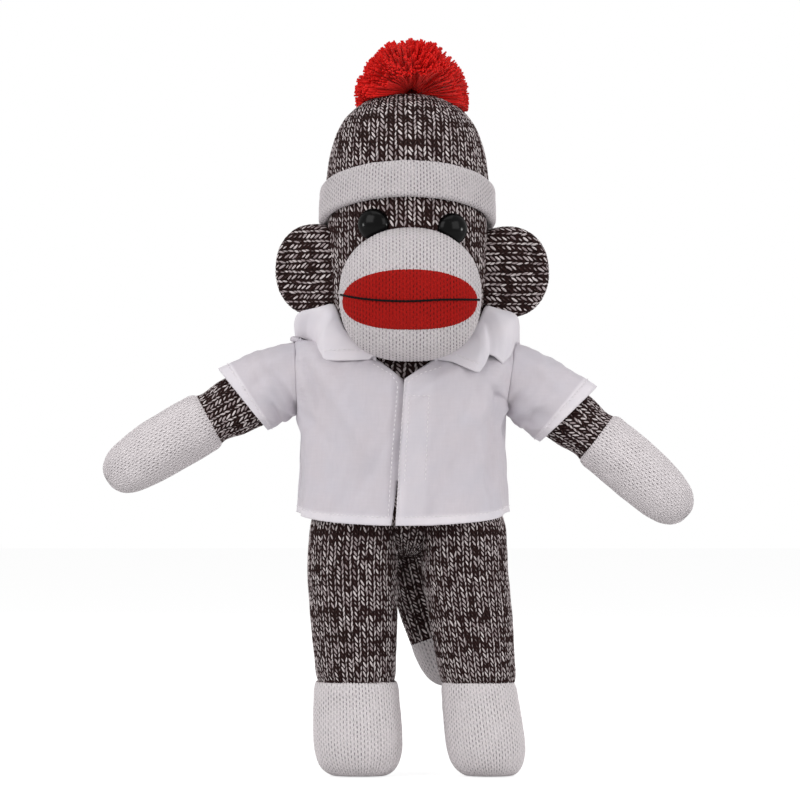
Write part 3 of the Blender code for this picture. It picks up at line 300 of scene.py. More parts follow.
def stitch_nodes(tree, across, along, rise, split):
    """A knitted stitch is a V. Gives each place's wale and course, whether it lies on the left leg,
    how far up the leg and round it, how near the leg's ends, and the leg's height there."""
    known = {"across": across, "along": along, "rise": rise, "split": split}
    for name, operation, *inputs in (
            ("wale", "FLOOR", "across"), ("turn", "FRACT", "across"), ("left", "LESS_THAN", "turn", "split"),
            ("before", "SUBTRACT", "split", "turn"), ("left up", "DIVIDE", "before", "split"),
            ("rest", "SUBTRACT", 1, "split"), ("after", "SUBTRACT", "turn", "split"),
            ("right up", "DIVIDE", "after", "rest"), ("up", "MAXIMUM", "left up", "right up"),
            ("climb", "MULTIPLY", "up", "rise"), ("row", "SUBTRACT", "along", "climb"),
            ("course", "FLOOR", "row"), ("girth", "FRACT", "row"), ("centred", "MULTIPLY_ADD", "girth", 2, -1),
            ("square", "MULTIPLY", "centred", "centred"), ("flank", "MULTIPLY_ADD", "square", -LEG_ROUNDNESS, 1),
            ("swell", "SQRT", "flank"), ("from middle", "MULTIPLY_ADD", "up", 2, -1),
            ("end square", "MULTIPLY", "from middle", "from middle"), ("ends", "MULTIPLY", "end square", "end square"),
            ("dip", "MULTIPLY_ADD", "ends", -LEG_DIP, 1), ("height", "MULTIPLY", "swell", "dip")):
        known[name] = add(tree, MATH, *[known.get(value, value) for value in inputs], operation=operation)
    return known


# Materials


def material(name):
    """A new node material, its tree and the place on the object."""
    made = bpy.data.materials.new(name)
    made.use_nodes = True
    return made, made.node_tree, add(made.node_tree, "ShaderNodeTexCoord").outputs["Object"]


def finish(made, **inputs):
    """Gives the material's shader its inputs."""
    feed(made.node_tree, named_inputs(made.node_tree.nodes["Principled BSDF"], inputs))
    return made


def knit_leg(tree, yarn):
    """The place counted in stitches, and what a stitch is there."""
    spot = add(tree, SPLIT, add(tree, "ShaderNodeUVMap", uv_map="knit"))
    return spot, stitch_nodes(tree, spot.outputs[0], spot.outputs[1], yarn["rise"], yarn["split"])


def fibre_bump(tree, place, height, depth, scale, strength):
    """Bump from the stitches, with the fuzz of the fibres over it."""
    fuzz = add(tree, NOISE, place, Scale=scale, Detail=4, Roughness=.7)
    coarse = add(tree, BUMP, Height=height, Distance=depth, Strength=1)
    return add(tree, BUMP, Height=fuzz, Distance=.0003, Strength=strength, Normal=coarse), fuzz


# A fleck for the left and for the right leg: the leg's width and the fleck's lean from upright
FLECKS = [(MARL["wale"] * MARL["split"], math.radians(35)), (MARL["wale"] * (1 - MARL["split"]), math.radians(6))]
FLECK_HALF = (.00145, .00044)


def fleck_axes(width, lean):
    """How far along and across a fleck a place lies, for each share up the leg and round it."""
    rise = MARL["rise"] * MARL["course"]
    return ((width * math.sin(lean) + rise * math.cos(lean), MARL["course"] * math.cos(lean)),
            (width * math.cos(lean) - rise * math.sin(lean), -MARL["course"] * math.sin(lean)))


def marl_wool():
    """Ragg wool knitted from a dark brown and an off-white ply twisted together: pale flecks lie
    along the legs of the stitches, matt and slightly fuzzy."""
    made, tree, place = material("marl_ragg_wool_knitted")
    leg = knit_leg(tree, MARL)[1]
    key = add(tree, JOIN, leg["wale"], leg["course"], leg["left"])
    chance = add(tree, "ShaderNodeTexWhiteNoise", key, noise_dimensions="3D")
    other = add(tree, "ShaderNodeSeparateColor", chance.outputs["Color"])
    # The twist keeps nearly in step from stitch to stitch, so flecks gather in runs and streaks
    wide = add(tree, MATH, leg["wale"], .83, operation="MULTIPLY")
    side = add(tree, MATH, leg["left"], .40, wide, operation="MULTIPLY_ADD")
    tall = add(tree, MATH, leg["course"], .53, operation="MULTIPLY")
    patch = add(tree, NOISE, add(tree, JOIN, side, tall), Scale=1, Detail=1, noise_dimensions="2D")
    row = add(tree, NOISE, leg["course"], Scale=.43, Detail=0, noise_dimensions="1D")
    met = add(tree, MATH, row, .40, patch, operation="MULTIPLY_ADD")
    bare = add(tree, RANGE, met, .50, .78, -1.0, 0)
    # A fleck is an ellipse on its leg, shifted along it by chance
    shift = add(tree, MATH, other, .30, -.65, operation="MULTIPLY_ADD")
    from_middle = add(tree, MATH, leg["up"], shift, operation="ADD")
    from_axis = add(tree, MATH, leg["girth"], -.5, operation="ADD")
    reach = []
    for on_left, on_right, half in zip(*[fleck_axes(width, lean) for width, lean in FLECKS], FLECK_HALF):
        far = 0
        for spot, left_part, right_part in zip((from_middle, from_axis), on_left, on_right):
            part = add(tree, MATH, leg["left"], (left_part - right_part) / half, right_part / half,
                       operation="MULTIPLY_ADD")
            far = add(tree, MATH, spot, part, far, operation="MULTIPLY_ADD")
        reach.append(add(tree, MATH, far, far, operation="MULTIPLY"))
    spread = add(tree, MATH, *reach, operation="ADD")
    inside = add(tree, MATH, bare, spread, operation="SUBTRACT")
    pale = add(tree, RANGE, inside, -1.15, -.65, interpolation_type="SMOOTHSTEP")
    normal, fuzz = fibre_bump(tree, place, leg["height"], .0006, 2600, .35)
    # The dark and the pale ply keep their own colours; shade then darkens each leg towards its edges, a painted shade
    # in the grooves where the legs meet
    brown = add(tree, MIX, fuzz, linear("#100808"), linear("#3a2321"), data_type="RGBA")
    off_white = add(tree, MIX, other.outputs[2], linear("#938486"), linear("#ddd3d3"), data_type="RGBA")
    yarn = add(tree, MIX, pale, brown, off_white, data_type="RGBA")
    shade = add(tree, RANGE, leg["height"], .25, .75, .25, 1)
    colour = add(tree, MIX, 1.0, yarn, shade, data_type="RGBA", blend_type="MULTIPLY")
    return finish(made, Base_Color=colour, Normal=normal, Roughness=.95, Specular_IOR_Level=.15)


def plain_knit(name, yarn, body_hex, light_hex, painted_gap_shade_hex, depth):
    """Soft one-colour sock yarn, knitted: rows of small gaps between the stitches' legs, painted in a darker colour as
    the shade inside them.
    """
    made, tree, place = material(name)
    spot, leg = knit_leg(tree, yarn)
    normal, fuzz = fibre_bump(tree, place, leg["height"], depth, 2200, .3)
    mottle = add(tree, RANGE, fuzz, .36, .64)
    body = add(tree, MIX, mottle, linear(body_hex), linear(light_hex), data_type="RGBA")
    # A gap stands where two stitches meet, at the foot and at the head of their legs; it is painted darker, a painted
    # shade in the hole
    upper = add(tree, MATH, leg["up"], .5, operation="GREATER_THAN")
    shifted = add(tree, MATH, upper, -yarn["rise"], spot.outputs[1], operation="MULTIPLY_ADD")
    stage = add(tree, MATH, shifted, operation="FRACT")
    centred = add(tree, MATH, stage, 2, -1, operation="MULTIPLY_ADD")
    from_middle = add(tree, MATH, centred, operation="ABSOLUTE")
    tall = add(tree, RANGE, from_middle, .25, .75, .12, 1, interpolation_type="SMOOTHSTEP")
    wide = add(tree, RANGE, leg["ends"], .03, .42)
    gap = add(tree, MATH, tall, wide, operation="MULTIPLY")
    # The knit is stretched more in some places, and its gaps close where the skin tucks away
    stretch = add(tree, RANGE, add(tree, NOISE, place, Scale=160, Detail=1), .32, .68, .40, 1)
    open_gap = add(tree, MATH, gap, stretch, operation="MULTIPLY")
    soft = add(tree, ATTRIBUTE, attribute_name="soft").outputs["Fac"]
    hole = add(tree, MATH, open_gap, soft, operation="MULTIPLY")
    # The gaps take the darker gap colour: painted shade inside the knit
    colour = add(tree, MIX, hole, body, linear(painted_gap_shade_hex), data_type="RGBA")
    return finish(made, Base_Color=colour, Normal=normal, Roughness=.92, Specular_IOR_Level=.2, Sheen_Weight=.15,
                  Sheen_Tint=linear(light_hex))


def pompom_yarn():
    """Red acrylic yarn, cut: strands of slightly different reds, matt with a soft sheen."""
    made, tree, place = material("red_acrylic_yarn_cut")
    shade = add(tree, ATTRIBUTE, attribute_name="shade").outputs["Fac"]
    fuzz = add(tree, NOISE, place, Scale=1500, Detail=3)
    red = add(tree, MIX, shade, linear("#cf0e0c"), linear("#f7211a"), data_type="RGBA")
    colour = add(tree, MIX, fuzz, red, linear("#e81612"), data_type="RGBA")
    bump = add(tree, BUMP, Height=fuzz, Distance=.0003, Strength=.6)
    return finish(made, Base_Color=colour, Normal=bump, Roughness=.85, Specular_IOR_Level=.2, Sheen_Weight=.25,
                  Sheen_Tint=linear("#ff9a90"))


def shirt_cotton():
    """Plain-woven cotton, pressed: nearly white with a lilac cast, paler where it lies double. The
    real threads, 0.25 mm apart, are too fine to show, so the slubs are drawn 1 mm wide and 6 mm long."""
    made, tree, place = material("white_cotton_woven")
    weft = add(tree, "ShaderNodeMapping", place, Scale=(160, 160, 1400))
    warp = add(tree, "ShaderNodeMapping", place, Scale=(1400, 1400, 160))
    across, along = (add(tree, NOISE, way, Scale=1, Detail=3) for way in (weft, warp))
    weave = add(tree, MATH, across, along, operation="ADD")
    tone = add(tree, RANGE, weave, .4, 1.6)
    single = add(tree, MIX, tone, linear("#c5bec4"), linear("#cec7cd"), data_type="RGBA")
    layers = add(tree, ATTRIBUTE, attribute_name="doubled").outputs["Fac"]
    cloth = add(tree, MIX, layers, single, linear("#e0dadf"), data_type="RGBA")
    cast = add(tree, RANGE, add(tree, NOISE, place, Scale=70, Detail=2), .35, .7, 0, .30)
    colour = add(tree, MIX, cast, cloth, linear("#c0c0cb"), data_type="RGBA")
    bump = add(tree, BUMP, Height=weave, Distance=.00006, Strength=.22)
    return finish(made, Base_Color=colour, Normal=bump, Roughness=.88, Specular_IOR_Level=.25, Sheen_Weight=.1)


def thread(name, dark_hex, light_hex, roughness):
    """Spun sewing thread: a fine twist that catches a little light."""
    made, tree, place = material(name)
    twist = add(tree, NOISE, place, Scale=3000, Detail=2)
    colour = add(tree, MIX, twist, linear(dark_hex), linear(light_hex), data_type="RGBA")
    bump = add(tree, BUMP, Height=twist, Distance=.0001, Strength=.5)
    return finish(made, Base_Color=colour, Normal=bump, Roughness=roughness, Specular_IOR_Level=.12)


def moulded_plastic(name, dark_hex, light_hex, roughness, wear):
    """Injection-moulded plastic: an even colour with the faintest unevenness in its gloss."""
    made, tree, place = material(name)
    clouds = add(tree, NOISE, place, Scale=400, Detail=2)
    colour = add(tree, MIX, clouds, linear(dark_hex), linear(light_hex), data_type="RGBA")
    gloss = add(tree, RANGE, clouds, .3, .7, roughness, roughness + wear)
    return finish(made, Base_Color=colour, Roughness=gloss, IOR=1.49, Specular_IOR_Level=.11)


def fastener_tape(name, dark_hex, light_hex, scale, depth):
    """Woven nylon tape with a pile of hooks or loops: a rough, slightly shiny nap."""
    made, tree, place = material(name)
    pile = add(tree, "ShaderNodeTexVoronoi", place, Scale=scale)
    # The nap is painted darker where the pile dips between its tufts, a painted shade
    colour = add(tree, MIX, pile, linear(light_hex), linear(dark_hex), data_type="RGBA")
    bump = add(tree, BUMP, Height=pile, Distance=depth, Strength=1, invert=True)
    return finish(made, Base_Color=colour, Normal=bump, Roughness=.6)


marl = marl_wool()
# Each yarn's last colour is the painted shade in its gaps
white_wool = plain_knit("white_sock_yarn_stretched", WHITE, "#bfb8bb", "#e4dddf", "#777074", .0004)
# The same white yarn painted lighter, as painted light for the hands and feet that the lamps light less; the tail's
# tip takes it too
white_wool_painted_lighter = plain_knit("white_sock_yarn_painted_lighter", WHITE, "#d6cfd1", "#f4edef", "#8a8386", .0004)
red_wool = plain_knit("red_sock_yarn_knitted", HEEL, "#900806", "#b2170f", "#540806", .0003)
pompom_red = pompom_yarn()
cotton = shirt_cotton()
white_thread = thread("white_polyester_thread", "#dcd6da", "#f0ecef", .55)
black_thread = thread("black_embroidery_thread", "#060405", "#120f10", .9)
eye_plastic = moulded_plastic("black_plastic_moulded_gloss", "#010101", "#020202", .15, .03)
washer_plastic = moulded_plastic("natural_plastic_moulded", "#d9d8d0", "#e8e7e0", .35, .1)
hook_nylon = fastener_tape("hook_nylon_tape", "#b9b5b9", "#e4e1e4", 1400, .0003)
loop_nylon = fastener_tape("loop_nylon_tape", "#c4c0c4", "#e9e6e9", 900, .0005)


def group(name, sockets):
    """A Geometry Nodes tree with the given inputs, its input sockets and its output node."""
    tree = bpy.data.node_groups.new(name, "GeometryNodeTree")
    kinds = {float: "Float", int: "Int", tuple: "Vector", type(None): "Material"}
    for way in ("INPUT", "OUTPUT"):
        tree.interface.new_socket("Geometry", in_out=way, socket_type="NodeSocketGeometry")
    for title, value in sockets.items():
        socket = tree.interface.new_socket(title, in_out="INPUT", socket_type="NodeSocket" + kinds[type(value)])
        if value is not None:
            socket.default_value = value
    return tree, add(tree, "NodeGroupInput").outputs


def close_tree(tree, geometry, material_input):
    """Ends a tree in Realize Instances and Set Material."""
    real = add(tree, "GeometryNodeRealizeInstances", geometry)
    add(tree, "NodeGroupOutput", add(tree, "GeometryNodeSetMaterial", real, Material=material_input))
    return tree


def knit_tree():
    """Raises each stitch's legs on a smooth skin, over the soft lumps of the filling."""
    tree, given = group("knitted_relief", {"Loop depth": .0005, "Loop rise": 1.5, "Loop split": .5,
                                           "Lump depth": .0007, "Lump size": .011, "Material": None})
    stitch = add(tree, "GeometryNodeInputNamedAttribute", "stitch", data_type="FLOAT_VECTOR")
    spot = add(tree, SPLIT, stitch)
    leg = stitch_nodes(tree, spot.outputs[0], spot.outputs[1], given["Loop rise"], given["Loop split"])
    raised = add(tree, MATH, leg["height"], -.5, operation="ADD")
    loops = add(tree, MATH, raised, given["Loop depth"], operation="MULTIPLY")
    scale = add(tree, MATH, 1, given["Lump size"], operation="DIVIDE")
    even = add(tree, MATH, add(tree, NOISE, Scale=scale, Detail=1), -.5, operation="ADD")
    lumps = add(tree, MATH, even, given["Lump depth"], loops, operation="MULTIPLY_ADD")
    # The soft value fades both where a skin tucks away, such as under a sole or in a seam
    soft = add(tree, "GeometryNodeInputNamedAttribute", "soft", data_type="FLOAT")
    faded = add(tree, MATH, lumps, soft, operation="MULTIPLY")
    offset = add(tree, VECTOR, add(tree, "GeometryNodeInputNormal"), Scale=faded, operation="SCALE")
    moved = add(tree, "GeometryNodeSetPosition", given["Geometry"], Offset=offset)
    return close_tree(tree, moved, given["Material"])


def pompom_tree():
    """Cut strands of yarn standing out from the tied middle, kept off the crown below them."""
    tree, given = group("pompom_strands", {
        "Strands per area": 1e7, "Strand radius": .0004, "Length": .018, "Waver": .002, "Droop": .001,
        "Tuft scale": 400.0, "Tuft lean": .9, "Crown centre": (0, 0, 0), "Crown radius": .034, "Seed": 4,
        "Material": None})
    many = add(tree, "GeometryNodeDistributePointsOnFaces", given["Geometry"], Density=given["Strands per area"],
               Seed=given["Seed"])
    line = add(tree, "GeometryNodeResampleCurve", add(tree, "GeometryNodeCurvePrimitiveLine", End=(0, 0, 1)), Count=6)
    trim = add(tree, "FunctionNodeRandomValue", .80, 1.05, Seed=given["Seed"], data_type="FLOAT")
    size = add(tree, JOIN, 1, 1, add(tree, MATH, trim, given["Length"], operation="MULTIPLY"))
    # Neighbours lean the same way, so the strands part into tufts
    lean = add(tree, NOISE, Scale=given["Tuft scale"], Detail=0).outputs["Color"]
    centred = add(tree, VECTOR, lean, (.5, .5, .5), operation="SUBTRACT")
    gathered = add(tree, VECTOR, centred, Scale=given["Tuft lean"], operation="SCALE")
    stray = add(tree, "FunctionNodeRandomValue", (-.07, -.07, 0), (.07, .07, 0), Seed=7, data_type="FLOAT_VECTOR")
    tilt = add(tree, VECTOR, gathered, stray, operation="ADD")
    turned = add(tree, "FunctionNodeRotateRotation", many.outputs["Rotation"], tilt, rotation_space="LOCAL")
    strands = add(tree, "GeometryNodeInstanceOnPoints", many, Instance=line, Rotation=turned, Scale=size)
    shade = add(tree, "FunctionNodeRandomValue", 0.0, 1.0, Seed=9, data_type="FLOAT")
    tinted = add(tree, "GeometryNodeStoreNamedAttribute", strands, Name="shade", Value=shade, data_type="FLOAT",
                 domain="INSTANCE")
    real = add(tree, "GeometryNodeRealizeInstances", tinted)
    # The strands sway and droop more towards their ends
    bend = add(tree, MATH, add(tree, "GeometryNodeSplineParameter"), 1.8, operation="POWER")
    sway = add(tree, NOISE, Scale=110, Detail=0).outputs["Color"]
    off = add(tree, VECTOR, sway, (.5, .5, .5), operation="SUBTRACT")
    waver = add(tree, MATH, bend, given["Waver"], operation="MULTIPLY")
    droop = add(tree, MATH, bend, given["Droop"], operation="MULTIPLY")
    tufted = add(tree, VECTOR, off, Scale=waver, operation="SCALE")
    fall = add(tree, VECTOR, (0, 0, -1), Scale=droop, operation="SCALE")
    hang = add(tree, VECTOR, tufted, fall, operation="ADD")
    bent_strands = add(tree, "GeometryNodeSetPosition", real, Offset=hang)
    # Where a strand would enter the crown, it lies on it
    away = add(tree, VECTOR, add(tree, "GeometryNodeInputPosition"), given["Crown centre"], operation="SUBTRACT")
    distance = add(tree, VECTOR, away, operation="LENGTH")
    lay = add(tree, MATH, given["Crown radius"], distance, operation="DIVIDE")
    lift = add(tree, MATH, lay, 1.0, operation="MAXIMUM")
    lifted = add(tree, VECTOR, away, Scale=lift, operation="SCALE")
    placed = add(tree, VECTOR, lifted, given["Crown centre"], operation="ADD")
    clear = add(tree, "GeometryNodeSetPosition", bent_strands, Position=placed)
    section = add(tree, "GeometryNodeCurvePrimitiveCircle", Resolution=3, Radius=given["Strand radius"])
    yarn = add(tree, "GeometryNodeCurveToMesh", clear, section, Fill_Caps=True)
    return close_tree(tree, yarn, given["Material"])


def topstitch_tree():
    """A row of sewn stitches along a path: short bright beads of thread with a gap after each."""
    tree, given = group("topstitching", {"Pitch": .0019, "Stitch length": .0013, "Thread": .00042, "Material": None})
    path = add(tree, "GeometryNodeMeshToCurve", given["Geometry"])
    rows = add(tree, "GeometryNodeResampleCurve", path, Length=given["Pitch"], mode="LENGTH")
    bead = add(tree, "GeometryNodeMeshUVSphere", 6, 4, .5)
    size = add(tree, JOIN, given["Stitch length"], given["Thread"], given["Thread"])
    tangent = add(tree, "GeometryNodeInputTangent")
    aim = add(tree, "FunctionNodeAlignRotationToVector", Vector=tangent, axis="X")
    outward = add(tree, "GeometryNodeInputNamedAttribute", "outward", data_type="FLOAT_VECTOR")
    level = add(tree, "FunctionNodeAlignRotationToVector", aim, Vector=outward, axis="Z", pivot_axis="X")
    beads = add(tree, "GeometryNodeInstanceOnPoints", rows, Instance=bead, Rotation=level, Scale=size)
    return close_tree(tree, beads, given["Material"])


KNIT, POMPOM, TOPSTITCH = knit_tree(), pompom_tree(), topstitch_tree()


def grow(obj, tree, values):
    """Runs a tree on an object and keeps the result as its plain mesh."""
    modifier = obj.modifiers.new("growth", "NODES")
    modifier.node_group = tree
    for item in tree.interface.items_tree:
        if item.in_out == "INPUT" and item.name in values:
            modifier[item.identifier] = values[item.name]
    depsgraph = bpy.context.evaluated_depsgraph_get()
    made = bpy.data.meshes.new_from_object(obj.evaluated_get(depsgraph), preserve_all_data_layers=True,
                                           depsgraph=depsgraph)
    obj.modifiers.clear()
    obj.data = made
    made.shade_smooth()
    return obj


# Curves and grids of points


def bent(value, power):
    """A sine or cosine squared off, for a rounded rectangle of the given power."""
    return np.sign(value) * np.abs(value) ** (2 / power)


def even_turns(power, count):
    """Turns that space points evenly round a rounded rectangle."""
    dense = np.linspace(0, 2 * math.pi, 4001)
    length = lengths(np.stack([bent(np.sin(dense), power), bent(np.cos(dense), power)], axis=1))
    return np.interp(np.linspace(0, length[-1], count + 1)[:-1], length, dense)


def unit(vectors):
    return vectors / np.maximum(np.linalg.norm(vectors, axis=-1, keepdims=True), 1e-12)


def lengths(line):
    """How far along a line each of its points lies."""
    return np.concatenate([[0], np.cumsum(np.linalg.norm(np.diff(line, axis=0), axis=1))])


def spaced(line, count):
    """A line of points respaced in even steps, and how far along it they lie."""
    length = lengths(line)
    even = np.linspace(0, length[-1], count)
    return np.stack([np.interp(even, length, line[:, i]) for i in range(line.shape[1])], axis=1), even


def even_rows(lines, count):
    """Each line respaced to the same count of points, with how far they lie from its middle."""
    grid, even = zip(*[spaced(line, count) for line in lines])
    return np.array(grid), np.array([places - places[-1] / 2 for places in even])


def hermite(part, start, end, start_slope, end_slope):
    """A smooth way from start to end."""
    return ((2 * part ** 3 - 3 * part ** 2 + 1) * start + (part ** 3 - 2 * part ** 2 + part) * start_slope
            + (3 * part ** 2 - 2 * part ** 3) * end + (part ** 3 - part ** 2) * end_slope)


def smooth_through(keys, step):
    """A smooth curve through rows of numbers, in even steps along it."""
    keys = np.array(keys, float)
    marks = lengths(keys)
    slopes = np.gradient(keys, marks, axis=0)
    part = np.linspace(0, 1, 33)[:-1, None]
    curve = [hermite(part, keys[i], keys[i + 1], slopes[i] * span, slopes[i + 1] * span)
             for i, span in enumerate(np.diff(marks))]
    curve = np.vstack(curve + [keys[-1:]])
    return spaced(curve, max(3, int(round(lengths(curve)[-1] / step)) + 1))[0]


def wander(points, size, seed):
    """A smooth wandering value, about -1 to 1, over places in space."""
    rng = np.random.default_rng(seed)
    total = 0
    for weight in (1, .7, .5, .4):
        direction = rng.normal(size=3)
        direction /= np.linalg.norm(direction)
        phase = rng.uniform(0, 2 * math.pi)
        total = total + weight * np.sin(points @ direction * (2 * math.pi / size / weight) + phase)
    return total / 1.8


def joined(grid):
    """A grid with its first column again at its end, where the round closes."""
    return np.concatenate([grid, grid[:, :1]], axis=1)


def tube_grid(keys, step, power=2.0, upright=False, pitch=FINE_STEP):
    """A round skin through sections (x, y, z, half width, half depth), first in front."""
    rows = smooth_through(keys, step)
    rows = rows[rows[:, 3] > SMALLEST_RING]
    centre = rows[:, :3]
    axis = np.tile(UP, (len(rows), 1)) if upright else unit(np.gradient(centre, axis=0))
    front = unit(BACK - axis * (axis @ BACK)[:, None])
    side = np.cross(axis, front)
    girth = 2 * math.pi * (rows[:, 3].max() + rows[:, 4].max()) / 2
    turns = even_turns(power, int(girth / pitch))
    return (centre[:, None] + side[:, None] * (rows[:, 3, None] * bent(np.sin(turns), power))[..., None]
            + front[:, None] * (rows[:, 4, None] * bent(np.cos(turns), power))[..., None])


def meridian(points):
    """Length along the rows of a grid, the same for all columns."""
    steps = np.linalg.norm(np.diff(points, axis=0), axis=2).mean(axis=1)
    return np.concatenate([[0], np.cumsum(steps)])


def grid_faces(rows, columns, tube=False, ring=False):
    """The quads of a grid of points, closed round its columns on a tube and along its rows on a ring."""
    row, column = np.arange(rows if ring else rows - 1), np.arange(columns if tube else columns - 1)
    low, high = (row * columns)[:, None], ((row + 1) % rows * columns)[:, None]
    after = (column + 1) % columns
    return np.stack([low + column, low + after, high + after, high + column], axis=-1).reshape(-1, 4)


# Meshes


def raw_mesh(name, vertices, loops, sizes, uv=None, uv_name="knit"):
    """A mesh from its faces' corners, one after the other, and their counts."""
    mesh = bpy.data.meshes.new(name)
    mesh.vertices.add(len(vertices))
    mesh.vertices.foreach_set("co", np.asarray(vertices, float).ravel())
    mesh.loops.add(len(loops))
    mesh.loops.foreach_set("vertex_index", loops.astype(np.int32))
    mesh.polygons.add(len(sizes))
    mesh.polygons.foreach_set("loop_start", np.concatenate([[0], np.cumsum(sizes)[:-1]]).astype(np.int32))
    mesh.update(calc_edges=True)
    if uv is not None:
        mesh.uv_layers.new(name=uv_name).data.foreach_set("uv", uv.ravel())
    mesh.validate()
    mesh.shade_smooth()
    return mesh


def mark_points(mesh, name, values):
    """Writes a value or a vector for each point."""
    kind, slot = ("FLOAT", "value") if np.ndim(values) == 1 else ("FLOAT_VECTOR", "vector")
    mesh.attributes.new(name, kind, "POINT").data.foreach_set(slot, np.ravel(values).astype(float))


def skin_mesh(name, points, across, along, soft=1.0, ring=False):
    """A closed skin from a grid whose columns run round; on a ring its rows do so too. Across and
    along count its stitches and have one column more, where the round closes."""
    rows, columns = points.shape[:2]
    count = rows * columns
    across, along = (np.broadcast_to(counts, (rows + ring, columns + 1)) for counts in (across, along))
    quads = grid_faces(rows, columns, True, ring)
    corners = [np.stack([f[:-1, :-1], f[:-1, 1:], f[1:, 1:], f[1:, :-1]], axis=-1) for f in (across, along)]
    uv, loops, sizes = [np.stack(corners, axis=-1).reshape(-1, 2)], [quads.ravel()], [np.full(len(quads), 4)]
    vertices = points.reshape(-1, 3)
    if not ring:
        # A fan of triangles closes each end
        vertices = np.concatenate([vertices, [points[0].mean(axis=0), points[-1].mean(axis=0)]])
        here = np.arange(columns)
        for row, pole, pair in ((0, count, (1, 0)), (rows - 1, count + 1, (0, 1))):
            rim = [row * columns + (here + ahead) % columns for ahead in pair]
            loops.append(np.stack(rim + [np.full(columns, pole)], axis=-1).ravel())
            sizes.append(np.full(columns, 3))
            ends = [np.stack([across[row, p:columns + p], along[row, p:columns + p]], axis=-1) for p in pair]
            uv.append(np.stack(ends + [(ends[0] + ends[1]) / 2], axis=1).reshape(-1, 2))
    mesh = raw_mesh(name, vertices, np.concatenate(loops), np.concatenate(sizes), np.concatenate(uv))
    stitch = np.zeros((len(vertices), 3))
    stitch[:count, 0] = across[:rows, :-1].ravel()
    stitch[:count, 1] = along[:rows, :-1].ravel()
    fade = np.ones(len(vertices))
    fade[:count] = np.broadcast_to(soft, (rows, columns)).ravel()
    if not ring:
        fade[-2:] = fade[0], fade[count - 1]
    mark_points(mesh, "stitch", stitch)
    mark_points(mesh, "soft", fade)
    a, b, c = (vertices[quads[:, i]] - vertices.mean(axis=0) for i in range(3))
    if np.einsum("ij,ij->", a, np.cross(b, c)) < 0:
        mesh.flip_normals()
    return mesh


def put(name, mesh, coat=None):
    """Puts a mesh in the scene as an object, with its material."""
    obj = bpy.data.objects.new(name, mesh)
    bpy.context.scene.collection.objects.link(obj)
    if coat is not None:
        mesh.materials.clear()
        mesh.materials.append(coat)
    return obj


def knitted(name, points, yarn, coat, across=None, along=None, lumps=1.0, soft=1.0, wobble=.22, ring=False):
    """A knitted skin over a smooth form: wales run along the rows unless across says otherwise."""
    if across is None:
        rings = np.linalg.norm(np.roll(points, -1, axis=1) - points, axis=2).sum(axis=1)
        wales = max(6, 2 * round(rings.max() / yarn["wale"] / 2))
        across = np.linspace(0, wales, points.shape[1] + 1)[None]
        along = (meridian(points) / yarn["course"])[:, None]
        # Where the wales are drawn together at a closed end, the stitches fade
        soft = np.minimum(soft, np.clip(rings / rings.max() / DRAWN_IN_SHARE, 0, 1)[:, None])
    if wobble:
        along = along + joined(wander(points, WOBBLE_SIZE, len(name)) * wobble)
    # Every piece is cut from its own place of the knit, so that their flecks differ
    across = across + PIECE_SHIFT * len(bpy.data.meshes)
    return grow(put(name, skin_mesh(name, points, across, along, soft, ring)), KNIT,
                {"Loop depth": yarn["depth"], "Loop rise": yarn["rise"], "Loop split": yarn["split"],
                 "Lump depth": LUMP_DEPTH * lumps, "Lump size": LUMP_SIZE, "Material": coat})


def dress(obj, body, nodes=()):
    """The piece stands for its CAD nodes, which are hidden; named as a body, it rides on it, and given a span between
    two bodies it only keeps its place.
    """
    if isinstance(body, str):
        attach(obj, body)
    else:
        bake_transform(obj)
    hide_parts(*nodes)
    return obj


# Head and hat

head_curve = smooth_through([(HEAD_FOOT_Z + HEAD_HEIGHT * height, HEAD_HALF[0] * share)
                             for height, share in HEAD_SHARES], HEAD_STEP)


def head_share(z):
    """How wide the head is at a height, as a share of its half width."""
    return np.interp(z, head_curve[:, 0], head_curve[:, 1] / HEAD_HALF[0])


def round_head(radius, proud, turns, z):
    """Places round the head at a share of its width, standing proud of it."""
    return np.stack([HEAD_X + (HEAD_HALF[0] * radius + proud) * np.sin(turns),
                     -(HEAD_HALF[1] * radius + proud) * np.cos(turns), z], axis=-1)


def upright_wales(points, proud):
    """Wale counts for a skin whose wales stay nearly upright over its front and its back."""
    turn = np.linspace(0, 2 * math.pi, points.shape[1] + 1)[None]
    lean = np.arcsin(np.clip((joined(points)[..., 0] - HEAD_X) / (HEAD_HALF[0] + proud), -1, 1))
    straight = np.where(np.cos(turn) > 0, lean, math.pi - lean)
    straight = np.where(turn > 1.5 * math.pi, straight + 2 * math.pi, straight)
    upright = turn + (straight - turn) * np.abs(np.cos(turn)) ** UPRIGHT_POWER
    return upright / (2 * math.pi) * 2 * round(2 * math.pi * HEAD_HALF[0] / MARL["wale"] / 2)


def crown_skin(name, start_z, dip, proud):
    """A skin over the head from a height, lower by the dip at its back, up to the crown."""
    turns = even_turns(2, int(2 * math.pi * HEAD_HALF[0] / FINE_STEP))
    length = lengths(head_curve)
    start = np.interp(start_z + dip * np.cos(turns), head_curve[:, 0], length)
    share = np.linspace(0, CROWN_END_SHARE, int((length[-1] - start.min()) / FINE_STEP))[:, None]
    place = start + (length[-1] - start) * share
    z, width = (np.interp(place, length, head_curve[:, i]) for i in range(2))
    points = round_head(width / HEAD_HALF[0], proud, turns, z + proud)
    along = joined(place - length[-1]) / MARL["course"]
    return knitted(name, points, MARL, marl, upright_wales(points, proud), along)


